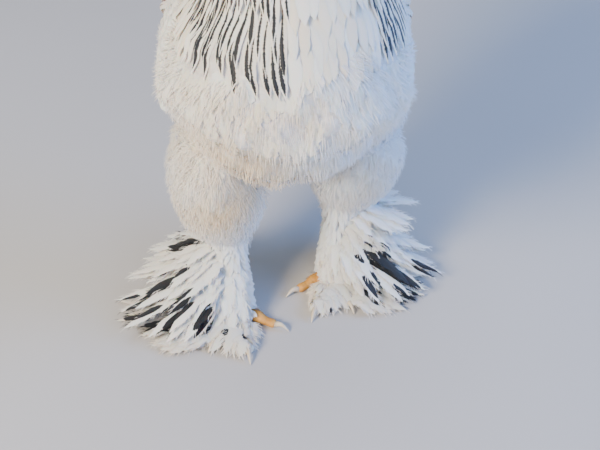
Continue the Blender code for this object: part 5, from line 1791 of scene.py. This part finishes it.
class BRAHMA_OT_stage(bpy.types.Operator):
    """Floor, soft light and the camera at the angle of the picture"""

    bl_idname = "brahma.stage"
    bl_label = "Stage"

    def execute(self, context):
        sizes = context.scene.brahma_sizes
        half = sizes.floor_width / 2
        mesh = bpy.data.meshes.new("floor")
        mesh.from_pydata([(-half, -half, 0), (half, -half, 0), (half, half, 0), (-half, half, 0)], [],
                         [(0, 1, 2, 3)])
        floor = placed("floor", mesh)
        mesh.materials.append(material("floor"))
        for name, (place, width, colour) in LIGHTS.items():
            lamp = bpy.data.lights.new(name, "AREA")
            lamp.size = width
            lamp.energy = getattr(sizes, name + "_power")
            lamp.color = linear(colour)
            made = bpy.data.objects.new(name, lamp)
            made.location = place
            aim = Vector(LIGHTS_AIM) - Vector(place)
            made.rotation_euler = aim.to_track_quat("-Z", "Y").to_euler()
            context.scene.collection.objects.link(made)
        world = bpy.data.worlds.new("studio")
        world.use_nodes = True
        back = world.node_tree.nodes["Background"]
        back.inputs["Color"].default_value = four(linear(SKY))
        back.inputs["Strength"].default_value = sizes.sky_strength
        context.scene.world = world
        camera = bpy.data.cameras.new("camera")
        camera.lens = sizes.lens
        camera.sensor_width = SENSOR
        eye = bpy.data.objects.new("camera", camera)
        eye.location = Vector(CAMERA_AT) + Vector(AT)
        eye.rotation_euler = (math.pi / 2 - sizes.look_down, 0.0, 0.0)
        context.scene.collection.objects.link(eye)
        context.scene.camera = eye
        return {"FINISHED"}


def colour_property(name, what):
    return FloatVectorProperty(name=name.replace("_", " ").title(), description=what, subtype="COLOR",
                               default=linear(COLOURS[name]), min=0.0, max=1.0)


class BrahmaColours(bpy.types.PropertyGroup):
    white: colour_property("white", "Clean white plumage")
    # Cream is also the hue of the painted warm light on the breast and the right thigh.
    cream: colour_property("cream", "Cream wash on the white plumage")
    shade: colour_property("shade", "Grey between the barbs")
    black: colour_property("black", "Black markings")
    face: colour_property("face", "Bare skin of the face")
    comb: colour_property("comb", "Comb, wattles and ear lobes")
    beak: colour_property("beak", "Beak horn")
    beak_dark: colour_property("beak_dark", "Dark stripe of the beak")
    toe: colour_property("toe", "Scales of the toes")
    claw: colour_property("claw", "Claw horn")
    iris: colour_property("iris", "Iris of the eye")
    floor: colour_property("floor", "Floor paint")


class BrahmaSizes(bpy.types.PropertyGroup):
    feather_gap: FloatProperty(name="Feather Gap", description="Distance between body feathers",
                               default=0.0090, min=0.004, unit="LENGTH")
    hackle_rows: IntProperty(name="Hackle Rows", description="Rows of neck feathers", default=8, min=3)
    hackle_gap: FloatProperty(name="Hackle Gap", description="Distance between neck feathers in a row",
                              default=0.0080, min=0.004, unit="LENGTH")
    fringe_count: IntProperty(name="Fringe Count", description="Loose barbs on each edge of a foot feather",
                              default=22, min=1)
    down_count: IntProperty(name="Down Count", description="Loose barbs in each part of the down",
                            default=13000, min=1)
    floor_width: FloatProperty(name="Floor Width", description="Side of the square floor", default=60.0,
                               unit="LENGTH")
    key_power: FloatProperty(name="Key Power", description="Warm light from the picture's left",
                             default=196.0, unit="POWER")
    fill_power: FloatProperty(name="Fill Power", description="Cool light from the picture's right",
                              default=95.0, unit="POWER")
    front_power: FloatProperty(name="Front Power", description="Cool light on legs and feet from in front",
                               default=42.0, unit="POWER")
    top_power: FloatProperty(name="Top Power", description="Soft light from above", default=26.0,
                             unit="POWER")
    sky_strength: FloatProperty(name="Sky Strength", description="Even light all round", default=0.40)
    lens: FloatProperty(name="Lens", description="Focal length for a 36 mm sensor", default=90.0)
    look_down: FloatProperty(name="Look Down", description="Camera tilt below the horizon",
                             default=math.radians(37), subtype="ANGLE")


STEPS = (
    BRAHMA_OT_skin,
    BRAHMA_OT_body_coat,
    BRAHMA_OT_thighs,
    BRAHMA_OT_wings,
    BRAHMA_OT_saddle,
    BRAHMA_OT_hackle,
    BRAHMA_OT_tail,
    BRAHMA_OT_foot_plumage,
    BRAHMA_OT_leg_feathers,
    BRAHMA_OT_head_feathers,
    BRAHMA_OT_down,
    BRAHMA_OT_comb,
    BRAHMA_OT_beak,
    BRAHMA_OT_eyes,
    BRAHMA_OT_claws,
    BRAHMA_OT_stage,
)


class BRAHMA_PT_panel(bpy.types.Panel):
    bl_label = "Light Brahma"
    bl_idname = "BRAHMA_PT_panel"
    bl_space_type = "VIEW_3D"
    bl_region_type = "UI"
    bl_category = "Brahma"

    def draw(self, context):
        for made in STEPS:
            self.layout.operator(made.bl_idname)


CLASSES = (BrahmaColours, BrahmaSizes, *STEPS, BRAHMA_PT_panel)


def register():
    for made in CLASSES:
        bpy.utils.register_class(made)
    bpy.types.Scene.brahma_colours = PointerProperty(type=BrahmaColours)
    bpy.types.Scene.brahma_sizes = PointerProperty(type=BrahmaSizes)


def unregister():
    del bpy.types.Scene.brahma_sizes
    del bpy.types.Scene.brahma_colours
    for made in reversed(CLASSES):
        bpy.utils.unregister_class(made)


def main():
    register()
    for made in STEPS:
        group, name = made.bl_idname.split(".")
        getattr(getattr(bpy.ops, group), name)()


if __name__ == "__main__":
    main()
